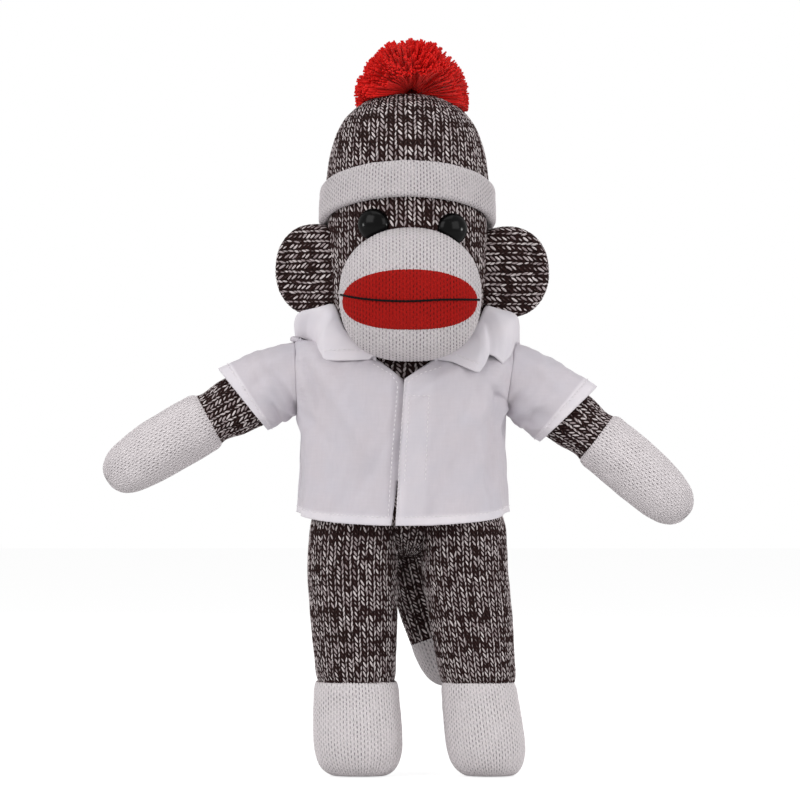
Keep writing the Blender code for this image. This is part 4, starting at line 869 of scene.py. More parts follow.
def hat_cuff():
    """The rolled cuff: its section led round the head, higher in front."""
    turns = even_turns(2, int(2 * math.pi * (HEAD_HALF[0] + CUFF_THICKNESS) / FINE_STEP))
    keys = [(rise * CUFF_HALF_HEIGHT, out * CUFF_THICKNESS) for rise, out in CUFF_SHARES[::-1]]
    loop = smooth_through(keys[-2:] + keys + keys[:2], FINE_STEP)
    # The loop starts and ends on the same key, so only one round of it is kept
    off_key = np.hypot(*(loop - keys[0]).T)
    half = len(loop) // 2
    loop = loop[np.argmin(off_key[:half]):half + np.argmin(off_key[half:])]
    z = (CUFF_Z + CUFF_TIP * np.cos(turns))[:, None] + loop[None, :, 0]
    points = round_head(head_share(z), loop[None, :, 1], turns[:, None], z)
    wales = 2 * round(2 * math.pi * (HEAD_HALF[0] + CUFF_THICKNESS) / WHITE["wale"] / 2)
    courses = round(2 * (2 * CUFF_HALF_HEIGHT + CUFF_THICKNESS) / WHITE["course"])
    across = np.linspace(0, wales, len(turns) + 1)[:, None]
    along = np.linspace(0, courses, loop.shape[0] + 1)[None]
    return knitted("hat_cuff_skin", points, WHITE, white_wool, across, along, wobble=0, ring=True)


head_skin = crown_skin("head_skin", HEAD_FOOT_Z + HEAD_STEP, 0, 0)
hat_crown_skin = crown_skin("hat_crown_skin", CUFF_Z - CROWN_UNDERLAP, CUFF_TIP, CROWN_PROUD)
hat_cuff_skin = hat_cuff()

# Muzzle, lips and mouth


def rounded(share, powers):
    """How far up and down an outline reaches at a share of its half width."""
    return [(1 - abs(share) ** power) ** (1 / power) for power in powers]


def muzzle_front(x, z):
    """How far forward the muzzle's dome lies at a place seen from the front."""
    power = np.where(z > MUZZLE_SPOT[1], *MUZZLE_POWER)
    share = ((np.abs(x - MUZZLE_SPOT[0]) / MUZZLE_HALF[0]) ** power
             + (np.abs(z - MUZZLE_SPOT[1]) / MUZZLE_HALF[1]) ** power) ** (1 / power)
    return MUZZLE_ROUND_Y - DOME_DEPTH * (1 - np.minimum(share, 1) ** DOME_POWER) ** (1 / DOME_POWER)


def off_muzzle(x, z, proud):
    """Points seen from the front at x and z, lifted off the muzzle's dome square to it."""
    step = SLOPE_STEP
    slope_x = (muzzle_front(x + step, z) - muzzle_front(x - step, z)) / (2 * step)
    slope_z = (muzzle_front(x, z + step) - muzzle_front(x, z - step)) / (2 * step)
    facing = unit(np.stack([slope_x, -np.ones_like(x), slope_z], axis=-1))
    return np.stack([x, muzzle_front(x, z), z], axis=-1) + facing * np.asarray(proud)[..., None]


def sides(width):
    """Shares from side to side, closer together where an outline turns round."""
    return np.sin(np.linspace(-1, 1, int(width / FINE_STEP)) * math.radians(88.5))


def muzzle():
    """Loops up the muzzle's front and back along its walls, side by side from right to left."""
    forward = np.linspace(0, 1, 30)[:-1]
    width, height = (np.interp(forward, *np.array(MUZZLE_BACK_SHARES)[:, [0, i]].T) for i in (1, 2))
    wall_y = MUZZLE_BACK_Y + (MUZZLE_ROUND_Y - MUZZLE_BACK_Y) * forward
    centre = MUZZLE_SPOT[1] + CHIN_RISE * (1 - forward)
    climb = np.sin(np.linspace(-math.pi / 2, math.pi / 2, 160))
    lines = []
    for side in sides(MUZZLE_ACROSS):
        top, low = rounded(side, MUZZLE_POWER)
        x = MUZZLE_SPOT[0] + MUZZLE_HALF[0] * width * side
        under = np.stack([x, wall_y, centre - MUZZLE_HALF[1] * height * low], axis=1)
        over = np.stack([x, wall_y, centre + MUZZLE_HALF[1] * height * top], axis=1)[::-1]
        z = MUZZLE_SPOT[1] + MUZZLE_HALF[1] * np.where(climb > 0, top, low) * climb
        x = np.full_like(z, MUZZLE_SPOT[0] + MUZZLE_HALF[0] * side)
        lines.append(np.concatenate([under, np.stack([x, muzzle_front(x, z), z], axis=1), over]))
    return even_rows(lines, int(MUZZLE_OVER / FINE_STEP))


def lips():
    """The red heel, a low pillow let into the muzzle, tucked in all round its seam."""
    climb = np.sin(np.linspace(-math.pi / 2, math.pi / 2, 80))
    power = np.where(climb > 0, *LIP_POWER)
    lines = []
    for side in sides(LIPS_ACROSS):
        up = np.where(climb > 0, *rounded(side, LIP_POWER)) * climb
        edge = (np.abs(side) ** power + np.abs(up) ** power) ** LIP_EDGE_POWER
        x = np.full_like(up, LIP_SPOT[0] + LIP_HALF[0] * side)
        z = LIP_SPOT[1] + LIP_HALF[1] * up
        inner = off_muzzle(x, z, np.full_like(x, -LIP_DEPTH))[::-1]
        lines.append(np.concatenate([off_muzzle(x, z, LIP_PROUD - LIP_TUCK * edge), inner[1:-1]]))
    return even_rows(lines, int(LIPS_OVER / FINE_STEP))


def sideways_knit(name, grid, middle, yarn, coat, lumps):
    """A skin of loops lying side by side: its wales are counted across at one point of the loops."""
    points, length = grid
    across = lengths(points[:, middle]) / yarn["wale"]
    along = np.concatenate([length, length[:, :1]], axis=1) / yarn["course"]
    return knitted(name, points, yarn, coat, across[:, None], along, lumps, wobble=.05)


muzzle_grid, lips_grid = muzzle(), lips()
muzzle_skin = sideways_knit("muzzle_skin", muzzle_grid, muzzle_grid[0].shape[1] // 2, WHITE, white_wool, .5)
lips_skin = sideways_knit("lips_skin", lips_grid, lips_grid[0].shape[1] // 4, HEEL, red_wool, .3)


def mouth():
    """The stitched mouth, a two-ply thread whose plies wind round each other; its ends dip in."""
    x, z = smooth_through(MOUTH, MOUTH_STEP).T
    share = (x - LIP_SPOT[0]) / LIP_HALF[0]
    path = off_muzzle(x, z, THREAD_PROUD - THREAD_DIP * np.abs(share) ** 8)
    axis = unit(np.gradient(path, axis=0))
    side = unit(np.cross(axis, BACK))
    length = lengths(path)[:, None]
    turns = np.linspace(0, 2 * math.pi, 13)[:-1]
    radius = THREAD_RADIUS * (1 + THREAD_PLY * np.cos(2 * (turns - math.pi * length / THREAD_TWIST)))
    points = path[:, None] + (radius * np.cos(turns))[..., None] * side[:, None]
    points = points + (radius * np.sin(turns))[..., None] * np.cross(axis, side)[:, None]
    return put("mouth_line", skin_mesh("mouth_line", points, np.linspace(0, 1, 13)[None], length), black_thread)


mouth_line = mouth()

# Eyes and ears


def eye(index):
    """A moulded eye: a low dome with a rolled rim, and a shank behind it."""
    share = head_share(EYE_Z[index])
    lean = math.asin((EYE_X[index] - HEAD_X) / (HEAD_HALF[0] * share))
    spot = np.array((EYE_X[index], -HEAD_HALF[1] * share * math.cos(lean) + EYE_SINK, EYE_Z[index]))
    facing = np.array((math.sin(lean * EYE_YAW_SHARE), -math.cos(lean * EYE_YAW_SHARE), 0))
    side = np.cross(facing, UP)
    outline = EYE_SHANK + [(EYE_RADIUS * math.cos(turn), EYE_RIM + (EYE_DOME - EYE_RIM) * math.sin(turn))
                           for turn in np.linspace(0, math.radians(88), 30)]
    turns = np.linspace(0, 2 * math.pi, 65)[:-1, None]
    points = np.array([spot + facing * out + (side * np.cos(turns) + UP * np.sin(turns)) * radius
                       for radius, out in outline])
    name = "eye_%s_dome" % SIDES[index]
    mesh = skin_mesh(name, points, np.linspace(0, 1, 65)[None], np.linspace(0, 1, len(outline))[:, None])
    return put(name, mesh, eye_plastic)


def ear(index):
    """A padded ear: stitches run outwards from the head, and the rim is drawn up with a crease."""
    outward, yaw = OUTWARD[index], EAR_YAW[index]
    spread = np.array((outward * math.cos(yaw), math.sin(yaw), 0))
    facing = np.array((outward * math.sin(yaw), -math.cos(yaw), 0))
    profile = smooth_through([(depth * EAR_HALF_THICKNESS, share * EAR_HALF[0]) for depth, share in EAR_SHARES],
                             FINE_STEP)
    profile = profile[profile[:, 1] > SMALLEST_RING]
    share = profile[:, 1:] / EAR_HALF[0]
    turns = even_turns(EAR_POWER, int(2 * math.pi * EAR_HALF[1] / FINE_STEP))
    across, up = bent(np.sin(turns), EAR_POWER), bent(np.cos(turns), EAR_POWER)
    rim = int(np.argmax(share))
    row = np.arange(len(share))[:, None]
    # The front sinks in a curved crease inside the drawn-up rim
    crease_at, crease_width = EAR_CREASE_SHARES
    sunk = EAR_CREASE * np.exp(-((share - crease_at) / crease_width) ** 2) * np.clip(across + .25, 0, 1) * (row > rim)
    points = (np.array(EAR_SPOT[index]) + facing * (profile[:, :1] - sunk)[..., None]
              + spread * (EAR_HALF[0] * share * across)[..., None] + UP * (EAR_HALF[1] * share * up)[..., None])
    length = lengths(profile)[:, None]
    reach = np.where(row <= rim, length, length[-1] - length)
    return knitted("ear_%s_skin" % SIDES[index], points, MARL, marl, joined(reach * up / MARL["wale"]) + EAR_SHIFT,
                   joined(reach * across / MARL["course"]) + EAR_SHIFT, lumps=.8)


eyes = [eye(i) for i in range(2)]
ears = [ear(i) for i in range(2)]


def pompom():
    """Strands that fan out sideways and up from a small tall ball; few point to the face or the back."""
    bpy.ops.mesh.primitive_ico_sphere_add(subdivisions=5, radius=POMPOM_CORE, location=POMPOM_SPOT,
                                          scale=(1, 1, POMPOM_CORE_RISE))
    obj = bpy.context.object
    obj.name = "pompom_strands"
    ball = obj.data
    ball.transform(obj.matrix_world)
    obj.matrix_world.identity()
    facing = np.array([face.normal[:] for face in ball.polygons])
    forward, back = np.clip(-facing[:, 1], 0, 1), np.clip(facing[:, 1], 0, 1)
    least_rise = -.22 + .72 * forward ** 2 + .40 * back ** 2
    kept = [face for face, up, least in zip(ball.polygons, facing[:, 2], least_rise) if up > least]
    corners = np.array([list(face.vertices) for face in kept])
    places = np.array([vertex.co[:] for vertex in ball.vertices])
    obj.data = raw_mesh("pompom_strands", places, corners.ravel(), np.full(len(corners), 3))
    return grow(obj, POMPOM, {
        "Strands per area": 3.0e7, "Strand radius": .00043, "Length": .0184, "Waver": .0030, "Droop": .0012,
        "Tuft scale": 420, "Tuft lean": 1.1, "Crown centre": (HEAD_X, 0, .2478), "Crown radius": .0342, "Seed": 4,
        "Material": pompom_red})


pompom_strands = pompom()

# Body, tail and limbs


def split_limb(first_keys, second_keys, power=2.0, upright=False):
    """Two grids of one limb, marl and white, that meet in the same ring."""
    grid = tube_grid(first_keys + second_keys[1:], FINE_STEP, power, upright)
    off_border = grid.mean(axis=1) - first_keys[-1][:3]
    at = int(np.argmin(np.linalg.norm(off_border, axis=1)))
    return grid[:at + 1], grid[at:]


def body():
    """The stuffed tube, narrowed into a seat between the hips."""
    keys = [(BODY_FOOT[0] + BODY_LEAN * share ** 2, 0, BODY_FOOT[1] + BODY_HEIGHT * share, BODY_HALF[0] * width,
             BODY_HALF[1] * depth) for share, width, depth in BODY_SHARES]
    return knitted("torso_skin", tube_grid(keys, BODY_STEP, BODY_POWER, True, BODY_STEP), MARL, marl)


def tail_key(share, swell):
    """A section of the tail at a share of its length."""
    along = max(share, 0)
    return (TAIL_ROOT[0] + TAIL_DRIFT * along ** TAIL_DRIFT_POWER,
            TAIL_ROOT[1] + TAIL_REACH * math.sin(min(1, 2 * share) * math.pi / 2), TAIL_ROOT[2] - TAIL_DROP * share,
            TAIL_RADIUS * swell, TAIL_RADIUS * swell)


def arm_key(index, share, swell):
    """A section of an arm at a share of its length along its bow."""
    root, tip = ARM_ROOT_ANGLE[index], ARM_TIP_ANGLE[index]
    radius = ARM_LENGTH[index] / (tip - root)
    turn = root + (tip - root) * share
    bow = np.array((OUTWARD[index] * (math.sin(turn) - math.sin(root)), 0, math.cos(turn) - math.cos(root)))
    return tuple(armhole_spot(index) + radius * bow) + (ARM_RADIUS * swell,) * 2


def armhole_spot(index):
    """The place on an armhole's axis where arm and sleeve start."""
    axis = np.array((OUTWARD[index] * math.cos(SEAM_ANGLE[index]), 0, -math.sin(SEAM_ANGLE[index])))
    return np.array(SHOULDER[index]) + axis * SEAM_GAP


def leg_key(index, z, half, width, depth, inwards=0):
    """A section of a leg or a foot at a height; above the hip it leans inwards."""
    x = SOLE_X[index] + (HIP_X[index] - SOLE_X[index]) * min(z, HIP_Z) / HIP_Z
    return (x - OUTWARD[index] * inwards, 0, z, half[0] * width, half[1] * depth)


def arm(index):
    marl_share = ARM_MARL_SHARE[index]
    upper = [arm_key(index, marl_share * share, swell) for share, swell in ARM_SHARES]
    lower = [arm_key(index, marl_share + (1 - marl_share) * share, swell) for share, swell in HAND_SHARES]
    grids = split_limb(upper, lower)
    return (knitted("arm_%s_skin" % SIDES[index], grids[0], MARL, marl),
            knitted("hand_%s_skin" % SIDES[index], grids[1], WHITE, white_wool_painted_lighter))


def leg(index):
    """A foot with a flat sole below a marl leg that runs on under the shirt to meet the body."""
    foot_half, leg_half = FOOT_HALF[index], LEG_HALF[index]
    leg_low = FOOT_HEIGHT + SEAM_GAP
    keys = [leg_key(index, 0, (SOLE_START, SOLE_START), 1, 1), leg_key(index, 0, foot_half, .45, .45)]
    keys += [leg_key(index, FOOT_HEIGHT * share, foot_half, swell, swell) for share, swell in FOOT_SHARES]
    keys += [leg_key(index, leg_low + (HIP_Z - leg_low) * share, leg_half, width, depth)
             for share, width, depth in LEG_SHARES]
    keys += [leg_key(index, HIP_Z + rise, leg_half, width, depth, inwards)
             for rise, inwards, width, depth in HIP_RISES]
    grid = tube_grid(keys, FINE_STEP, LEG_POWER, upright=True)
    grid[..., 2] = np.maximum(grid[..., 2], 0)
    at = int(np.argmin(np.abs(grid[..., 2].mean(axis=1) - FOOT_HEIGHT)))
    sole = np.clip(grid[:at + 1, :, 2] / SOLE_ROUND, 0, 1)
    return (knitted("leg_%s_skin" % SIDES[index], grid[at:], MARL, marl),
            knitted("foot_%s_skin" % SIDES[index], grid[:at + 1], WHITE, white_wool_painted_lighter, soft=sole))


torso_skin = body()
tail_grids = split_limb(TAIL_START + [tail_key(*key) for key in TAIL_SHARES],
                        [tail_key(TAIL_TIP_SHARE + (1 - TAIL_TIP_SHARE) * share, swell)
                         for share, swell in TAIL_TIP_SHARES])
tail_skin = knitted("tail_skin", tail_grids[0], MARL, marl)
tail_tip_skin = knitted("tail_tip_skin", tail_grids[1], WHITE, white_wool_painted_lighter)
arms, legs = [arm(i) for i in range(2)], [leg(i) for i in range(2)]

# Shirt

shirt_curve = smooth_through([(height * (SHIRT_TOP_Z - HEM_Z), width * SHIRT_HALF[0], depth * SHIRT_HALF[1])
                              for height, width, depth in SHIRT_SHARES], .0003)
shirt_length = lengths(shirt_curve)
SHIRT_REACH = shirt_length[-1]


def shirt_section(level):
    """Height above the hem, half width and half depth at a length up the shirt's side."""
    return [np.interp(level, shirt_length, shirt_curve[:, i]) for i in range(3)]


def shirt_place(turn, level):
    """A place on the smooth shirt, before its folds."""
    height, width, depth = shirt_section(level)
    side, front = bent(np.sin(turn), SHIRT_POWER), bent(np.cos(turn), SHIRT_POWER)
    rise = (HEM_RISE * side ** 2 + HEM_CORNER * side ** 12) * np.maximum(0, 1 - height / (SHIRT_TOP_Z - HEM_Z) / .25)
    return np.stack([SHIRT_X + width * side, -depth * front, HEM_Z + height + rise], axis=-1)


def crease(across, up, ax, ay, bx, by, width, rise):
    """The height of a soft fold that runs from a to b, of a given half width and rise."""
    run = np.array((bx - ax, by - ay))
    along = ((across - ax) * run[0] + (up - ay) * run[1]) / (run @ run)
    beside = ((across - ax) * run[1] - (up - ay) * run[0]) / np.linalg.norm(run)
    over = np.maximum(0, np.abs(along - .5) - .5) * np.linalg.norm(run)
    return rise * np.exp(-(beside / width) ** 2 - (over / (2 * width)) ** 2)


def shirt_surface(turn, level):
    """A place on the shirt with its folds, and the way out from it there."""
    step = .002
    around = shirt_place(turn + step, level) - shirt_place(turn - step, level)
    rise = step / 4
    up = (shirt_place(turn, np.minimum(level + rise, SHIRT_REACH))
          - shirt_place(turn, np.maximum(level - rise, 0)))
    out = unit(np.cross(around, up))
    place = shirt_place(turn, level)
    height = (place[..., 2] - HEM_Z) / (SHIRT_TOP_Z - HEM_Z)
    fade = np.clip(1 - height / .62, 0, 1) ** 2
    hem = -.0011 * fade * np.sqrt(np.abs(np.sin(turn))) * (1 + np.cos(9 * turn)) / 2
    drape = .0006 * wander(place * (1, 1, .35), .019, 3) * np.clip(1.6 - 1.6 * height, 0, 1)
    creases = .00030 * wander(place, .0085, 5)
    drag = np.zeros_like(height)
    for keys in DRAG_FOLDS:
        drag += crease(place[..., 0], place[..., 2], *keys)
    drag *= np.cos(turn) > 0
    return place + out * (hem + drape + creases + drag)[..., None], out


def edge_x(z):
    return EDGE_HEM_X + (V_SPOT[0] - EDGE_HEM_X) * (np.minimum(z, V_SPOT[1]) - HEM_Z) / (V_SPOT[1] - HEM_Z)


def turn_at(x, width):
    """The turn, from the front, at which the shirt reaches a distance to the side."""
    side = np.clip((x - SHIRT_X) / width, -1, 1)
    return np.sign(side) * np.arcsin(np.abs(side) ** (SHIRT_POWER / 2))


def front_edges(level):
    """Turns of the left and right fronts' edges, open in a V at the neck."""
    height, width, _ = shirt_section(level)
    z = HEM_Z + height
    open_share = np.clip((z - V_SPOT[1]) / V_RISE, 0, 1)
    parting = np.clip(1 - (z - HEM_Z) / (TAPE_LOW_Z - HEM_Z), 0, 1)
    left = edge_x(z) + V_REACH[0] * open_share
    under = np.clip((V_SPOT[1] - z) / .004, 0, 1) * (parting <= 0)
    right = edge_x(z) - V_REACH[1] * open_share - EDGE_PARTING * parting - .0001 + EDGE_UNDERLAP * under
    return turn_at(left, width), turn_at(right, width)


def shirt_body():
    """The whole shirt but its sleeves and collar, as one sheet open down the front."""
    rows = int(SHIRT_REACH / CLOTH_STEP)
    half = int(2 * (SHIRT_HALF[0] + SHIRT_HALF[1]) / CLOTH_STEP * .9)
    levels = np.linspace(0, SHIRT_REACH * .998, rows)
    left, right = front_edges(levels)
    share = np.linspace(0, 1, half // 2)
    quarter = math.pi / 2
    turns = np.concatenate([left[:, None] + (quarter - left)[:, None] * share[:-1],
                            quarter + np.zeros_like(left)[:, None] + 2 * quarter * np.linspace(0, 1, half)[None, :-1],
                            3 * quarter + (right + quarter)[:, None] * share], axis=1)
    level = np.broadcast_to(levels[:, None], turns.shape)
    place, out = shirt_surface(turns, level)
    # The right front dips under the left front's edge
    x, z = place[..., 0], place[..., 2]
    near = np.clip(1 - np.maximum(0, edge_x(z) - x) / TUCK_WIDTH, 0, 1) * (turns > math.pi * 1.5)
    upper = np.clip((z - HEM_Z) / (TAPE_LOW_Z - HEM_Z), .35, 1)
    place = place - out * (TUCK_DEPTH * near ** 2 * (3 - 2 * near) * upper)[..., None]
    return place, turns, level


def sleeve_ring(index, share, turns):
    """A ring of the sleeve, from its root at 0 to its cuff at 1."""
    root, cuff = armhole_spot(index), np.array(SLEEVE_CUFF_SPOT[index])
    droop = SEAM_ANGLE[index] + (SLEEVE_CUFF_ANGLE[index] - SEAM_ANGLE[index]) * share
    along = np.array((OUTWARD[index] * math.cos(droop), 0, -math.sin(droop)))
    height, depth = (low + (high - low) * share for low, high in zip(SLEEVE_ROOT_HALF, SLEEVE_CUFF_HALF))
    centre = root + (cuff - root) * share + UP * SLEEVE_SAG * math.sin(share * math.pi)
    rise = np.cross(along, BACK)
    rise = rise * np.sign(rise[2])
    return centre + BACK * depth * np.cos(turns)[:, None] + rise * height * np.sin(turns)[:, None]


def sheet_object(name, points, faces, flat_uv, doubled):
    """A layer of cloth given thickness inwards; doubled says where it is turned under, as in a hem."""
    used = np.unique(faces)
    lookup = np.zeros(len(points), int)
    lookup[used] = np.arange(len(used))
    mesh = raw_mesh(name, points[used], lookup[faces].ravel(), np.full(len(faces), 4),
                    flat_uv[faces].reshape(-1, 2), "cloth")
    mark_points(mesh, "doubled", doubled[used])
    obj = put(name, mesh, cotton)
    wall = obj.modifiers.new("wall", "SOLIDIFY")
    wall.thickness = CLOTH
    wall.offset = -1
    return obj


def cut_hole(points, faces, inside, target, reach):
    """Takes the faces inside a hole away and draws the cloth round it onto the target ring."""
    gone = inside(points[faces].mean(axis=1))
    kept = faces[~gone]
    edge = np.intersect1d(np.unique(faces[gone]), np.unique(kept))
    shift = target(points[edge]) - points[edge]
    distance = np.linalg.norm(points[:, None] - points[edge][None], axis=2)
    nearest = distance.argmin(axis=1)
    away = distance[np.arange(len(points)), nearest]
    pull = np.clip(1 - away / reach, 0, 1) ** 2
    moved = points + shift[nearest] * (pull * (3 - 2 * pull))[:, None]
    moved[edge] = points[edge] + shift
    return moved, kept


def shirt_panels():
    """The two fronts and the back, cut from the body's sheet with holes for the neck and the arms."""
    place, turns, level = shirt_body()
    rows, columns = place.shape[:2]
    faces = grid_faces(rows, columns)
    points, turn = place.reshape(-1, 3), turns.ravel()
    uv = np.stack([turn * .036, level.ravel()], axis=-1)

    def in_neck(p):
        lowest = np.where(p[:, 1] > 0, BACK_NECK_Z, V_SPOT[1] + .004)
        return (np.hypot(p[:, 0] - HEAD_X, p[:, 1]) < NECK_HOLE_RADIUS) & (p[:, 2] > lowest)

    def on_neck(p):
        out = p[:, :2] - (HEAD_X, 0)
        near = out / np.linalg.norm(out, axis=1, keepdims=True) * NECK_HOLE_RADIUS
        return np.concatenate([near + (HEAD_X, 0), p[:, 2:]], axis=1)

    points, faces = cut_hole(points, faces, in_neck, on_neck, .002)
    for side in range(2):
        spot = SHOULDER[side]

        def in_arm(p, side=side, spot=spot):
            near = (p[:, 1] / SLEEVE_ROOT_HALF[1]) ** 2 + ((p[:, 2] - spot[2]) / SLEEVE_ROOT_HALF[0]) ** 2
            return (near < 1) & ((p[:, 0] - HEAD_X) * OUTWARD[side] > .030)

        def on_arm(p, side=side, spot=spot):
            turn_round = np.arctan2((p[:, 2] - spot[2]) / SLEEVE_ROOT_HALF[0], -p[:, 1] / SLEEVE_ROOT_HALF[1])
            return np.array([sleeve_ring(side, 0, np.array([t]))[0] for t in turn_round])

        points, faces = cut_hole(points, faces, in_arm, on_arm, .011)
    middle = turn[faces].mean(axis=1)
    parts = {"shirt_front_left": middle < math.pi / 2,
             "shirt_back": (middle >= math.pi / 2) & (middle <= 1.5 * math.pi),
             "shirt_front_right": middle > 1.5 * math.pi}
    # The left front's edge is turned under twice, the second time as wide as the placket
    from_edge = points[:, 0] - edge_x(points[:, 2])
    facing = (.25 * np.clip((PLACKET_WIDTH - from_edge) / .0016 + .5, 0, 1)
              + .45 * np.clip((TURNING_WIDTH - from_edge) / .0012 + .5, 0, 1))
    facing *= (from_edge > -.0008) & (turn < math.pi / 2) & (points[:, 2] < V_SPOT[1] + .002)
    doubled = np.maximum(np.clip((HEM_TURN - level.ravel()) / .0004 + .5, 0, 1), facing)
    return {name: sheet_object(name + "_cloth", points, faces[mask], uv, doubled) for name, mask in parts.items()}


shirt = shirt_panels()


def sleeve_cloth(index):
    """A short set-in sleeve, drooping from its seam to a turned hem."""
    turns = np.linspace(0, 2 * math.pi, 121)[:-1]
    shares = np.linspace(0, 1, 36)
    rings = np.array([sleeve_ring(index, share, turns) for share in shares])
    centre = rings.mean(axis=1, keepdims=True)
    out = unit(rings - centre)
    fold = .0006 * wander(rings, .013, 11 + index) * np.sin(math.pi * shares)[:, None]
    fold += .0007 * np.cos(3 * turns + 1 + index)[None] * (shares ** 2)[:, None]
    around = np.where(turns > math.pi, turns - 2 * math.pi, turns)[None] * SLEEVE_CUFF_HALF[0]
    for turn, share, to_turn, to_share, width, rise in SLEEVE_CREASES:
        fold += crease(around, (shares * SLEEVE_REACH)[:, None], turn * SLEEVE_CUFF_HALF[0], share * SLEEVE_REACH,
                       to_turn * SLEEVE_CUFF_HALF[0], to_share * SLEEVE_REACH, width, rise)
    rings = rings + out * fold[..., None]
    rows, columns = rings.shape[:2]
    points = rings.reshape(-1, 3)
    faces = grid_faces(rows, columns, True)
    side = np.cross(points[faces[0, 1]] - points[faces[0, 0]], points[faces[0, 3]] - points[faces[0, 0]])
    if side @ out[0, 0] < 0:
        faces = faces[:, ::-1]
    uv = np.stack([np.tile(turns * .015, rows), np.repeat(shares * .026, columns)], axis=-1)
    doubled = np.repeat(np.clip((SLEEVE_HEM - (1 - shares) * SLEEVE_REACH) / .0004 + .5, 0, 1), columns)
    return sheet_object("sleeve_%s_cloth" % SIDES[index], points, faces, uv, doubled), rings


sleeves = [sleeve_cloth(i) for i in range(2)]


def front_y(x, z):
    """How far forward the shirt's front lies at a place seen from the front."""
    _, width, depth = shirt_section(np.interp(z - HEM_Z, shirt_curve[:, 0], shirt_length))
    return -depth * (1 - min(1, abs(x - SHIRT_X) / width) ** SHIRT_POWER) ** (1 / SHIRT_POWER)


def collar_columns(index):
    """Foot, stand, fold, bulge and edge of the collar at each of its columns, from the front end."""
    columns = []
    for x, y, z, edge_at, edge_z, lift, bulge in COLLAR_FRONT[index]:
        fold = np.array((x, y, z))
        free = np.array((edge_at, front_y(edge_at, edge_z) - lift, edge_z))
        inward = unit(np.array((HEAD_X - x, -y, 0)))
        foot = fold + inward * .0022 - UP * min(.0100, .25 * (z - .1700) + .004)
        stand = fold + inward * .0009 - UP * .0018
        swell = np.linalg.norm(free - fold)
        middle = (fold + free) / 2 - inward * swell * bulge + UP * swell * bulge * .8
        near = fold - inward * swell * .12 - UP * swell * .02
        columns.append(np.concatenate([foot, stand, fold, near, middle, free]))
    for degrees, radius, height, out_radius, out_height, edge_radius, edge_height in COLLAR_BACK:
        turn = math.radians(degrees) * OUTWARD[index]
        out = np.array((math.sin(turn), -math.cos(turn), 0))
        spots = [(radius - .0022, height - .0100), (radius - .0009, height - .0018), (radius, height),
                 (radius * .8 + out_radius * .2, height + .0004), (out_radius, out_height),
                 (edge_radius, edge_height)]
        columns.append(np.concatenate([np.array((HEAD_X, 0, 0)) + out * r + UP * z for r, z in spots]))
    return columns


def collar_cloth():
    """Stand, fold and leaves of the open collar, from one front end round to the other."""
    keys = np.array(collar_columns(0) + collar_columns(1)[-2::-1])
    slopes = np.gradient(keys, axis=0)
    dense = []
    for i in range(len(keys) - 1):
        span = max(np.linalg.norm(keys[i + 1, k:k + 3] - keys[i, k:k + 3]) for k in (6, 15))
        part = np.linspace(0, 1, int(span / COLLAR_STEP) + 2)[:-1 if i < len(keys) - 2 else None, None]
        rows = hermite(part, keys[i], keys[i + 1], slopes[i], slopes[i + 1])
        # In front the free edge is cut straight from corner to corner
        if min(i, len(keys) - 2 - i) < len(COLLAR_FRONT[0]) - 1:
            rows[:, 15:] = keys[i, 15:] + (keys[i + 1, 15:] - keys[i, 15:]) * part
        dense.append(rows)
    lines = [smooth_through(row.reshape(6, 3), .0004) for row in np.vstack(dense)]
    grid, reach = even_rows(lines, COLLAR_REACH)
    rows, columns = grid.shape[:2]
    uv = np.stack([np.repeat(np.arange(rows) * COLLAR_STEP, columns), reach.ravel()], axis=-1)
    obj = sheet_object("collar_cloth", grid.reshape(-1, 3), grid_faces(rows, columns), uv, np.ones(rows * columns))
    obj.modifiers["wall"].offset = 0
    return obj, grid


collar, collar_grid = collar_cloth()


def collar_line(low, high, inset):
    """Stitching along the leaf, a set distance inside its free edge, for edges from low to high across."""
    edge = collar_grid[:, -1]
    chosen = np.flatnonzero((edge[:, 0] > low) & (edge[:, 0] < high) & (edge[:, 1] < 0))
    places = []
    for row in collar_grid[chosen]:
        places.append([np.interp(inset, lengths(row[::-1]), row[::-1, k]) for k in range(3)])
    out = np.tile(unit(np.array((np.sign(low) * .25, -.9, .35))), (len(places), 1))
    return np.array(places) + out * (CLOTH / 2 + .0001), out


def path_object(name, lines):
    """Paths as a mesh of edges, each point with the way out of the cloth."""
    vertices, edges, outs = [], [], []
    for places, out in lines:
        start = len(vertices)
        vertices += [tuple(p) for p in places]
        outs += [tuple(o) for o in out]
        edges += [(start + i, start + i + 1) for i in range(len(places) - 1)]
    mesh = bpy.data.meshes.new(name)
    mesh.from_pydata(vertices, edges, [])
    mark_points(mesh, "outward", outs)
    return put(name, mesh)


def shirt_line(*corners, count=60):
    """A line on the shirt's front through places seen from the front."""
    corners = np.array(corners, float)
    marks = np.linspace(0, len(corners) - 1, count)
    x = np.interp(marks, np.arange(len(corners)), corners[:, 0])
    z = np.interp(marks, np.arange(len(corners)), corners[:, 1])
    level = np.interp(z - HEM_Z, shirt_curve[:, 0], shirt_length)
    turn = turn_at(x, shirt_section(level)[1])
    place, out = shirt_surface(turn, level)
    return place + out * .0001, out


def hem_line(count=400, end_gap=.04):
    """The stitching round the whole hem."""
    level = np.full(count, HEM_STITCH_Z)
    left, right = front_edges(level[:1])
    turn = np.linspace(left[0] + end_gap, 2 * math.pi + right[0] - end_gap, count)
    place, out = shirt_surface(turn, level)
    return place + out * .0001, out


def sleeve_hem_line(index):
    """The stitching round a sleeve's hem, a little over four rings up from its edge."""
    rings = sleeves[index][1]
    ring = rings[-1] + (rings[-2] - rings[-1]) * 4.2
    out = unit(ring - ring.mean(axis=0))
    closed = np.concatenate([ring, ring[:1]])
    out = np.concatenate([out, out[:1]])
    return closed + out * .0002, out


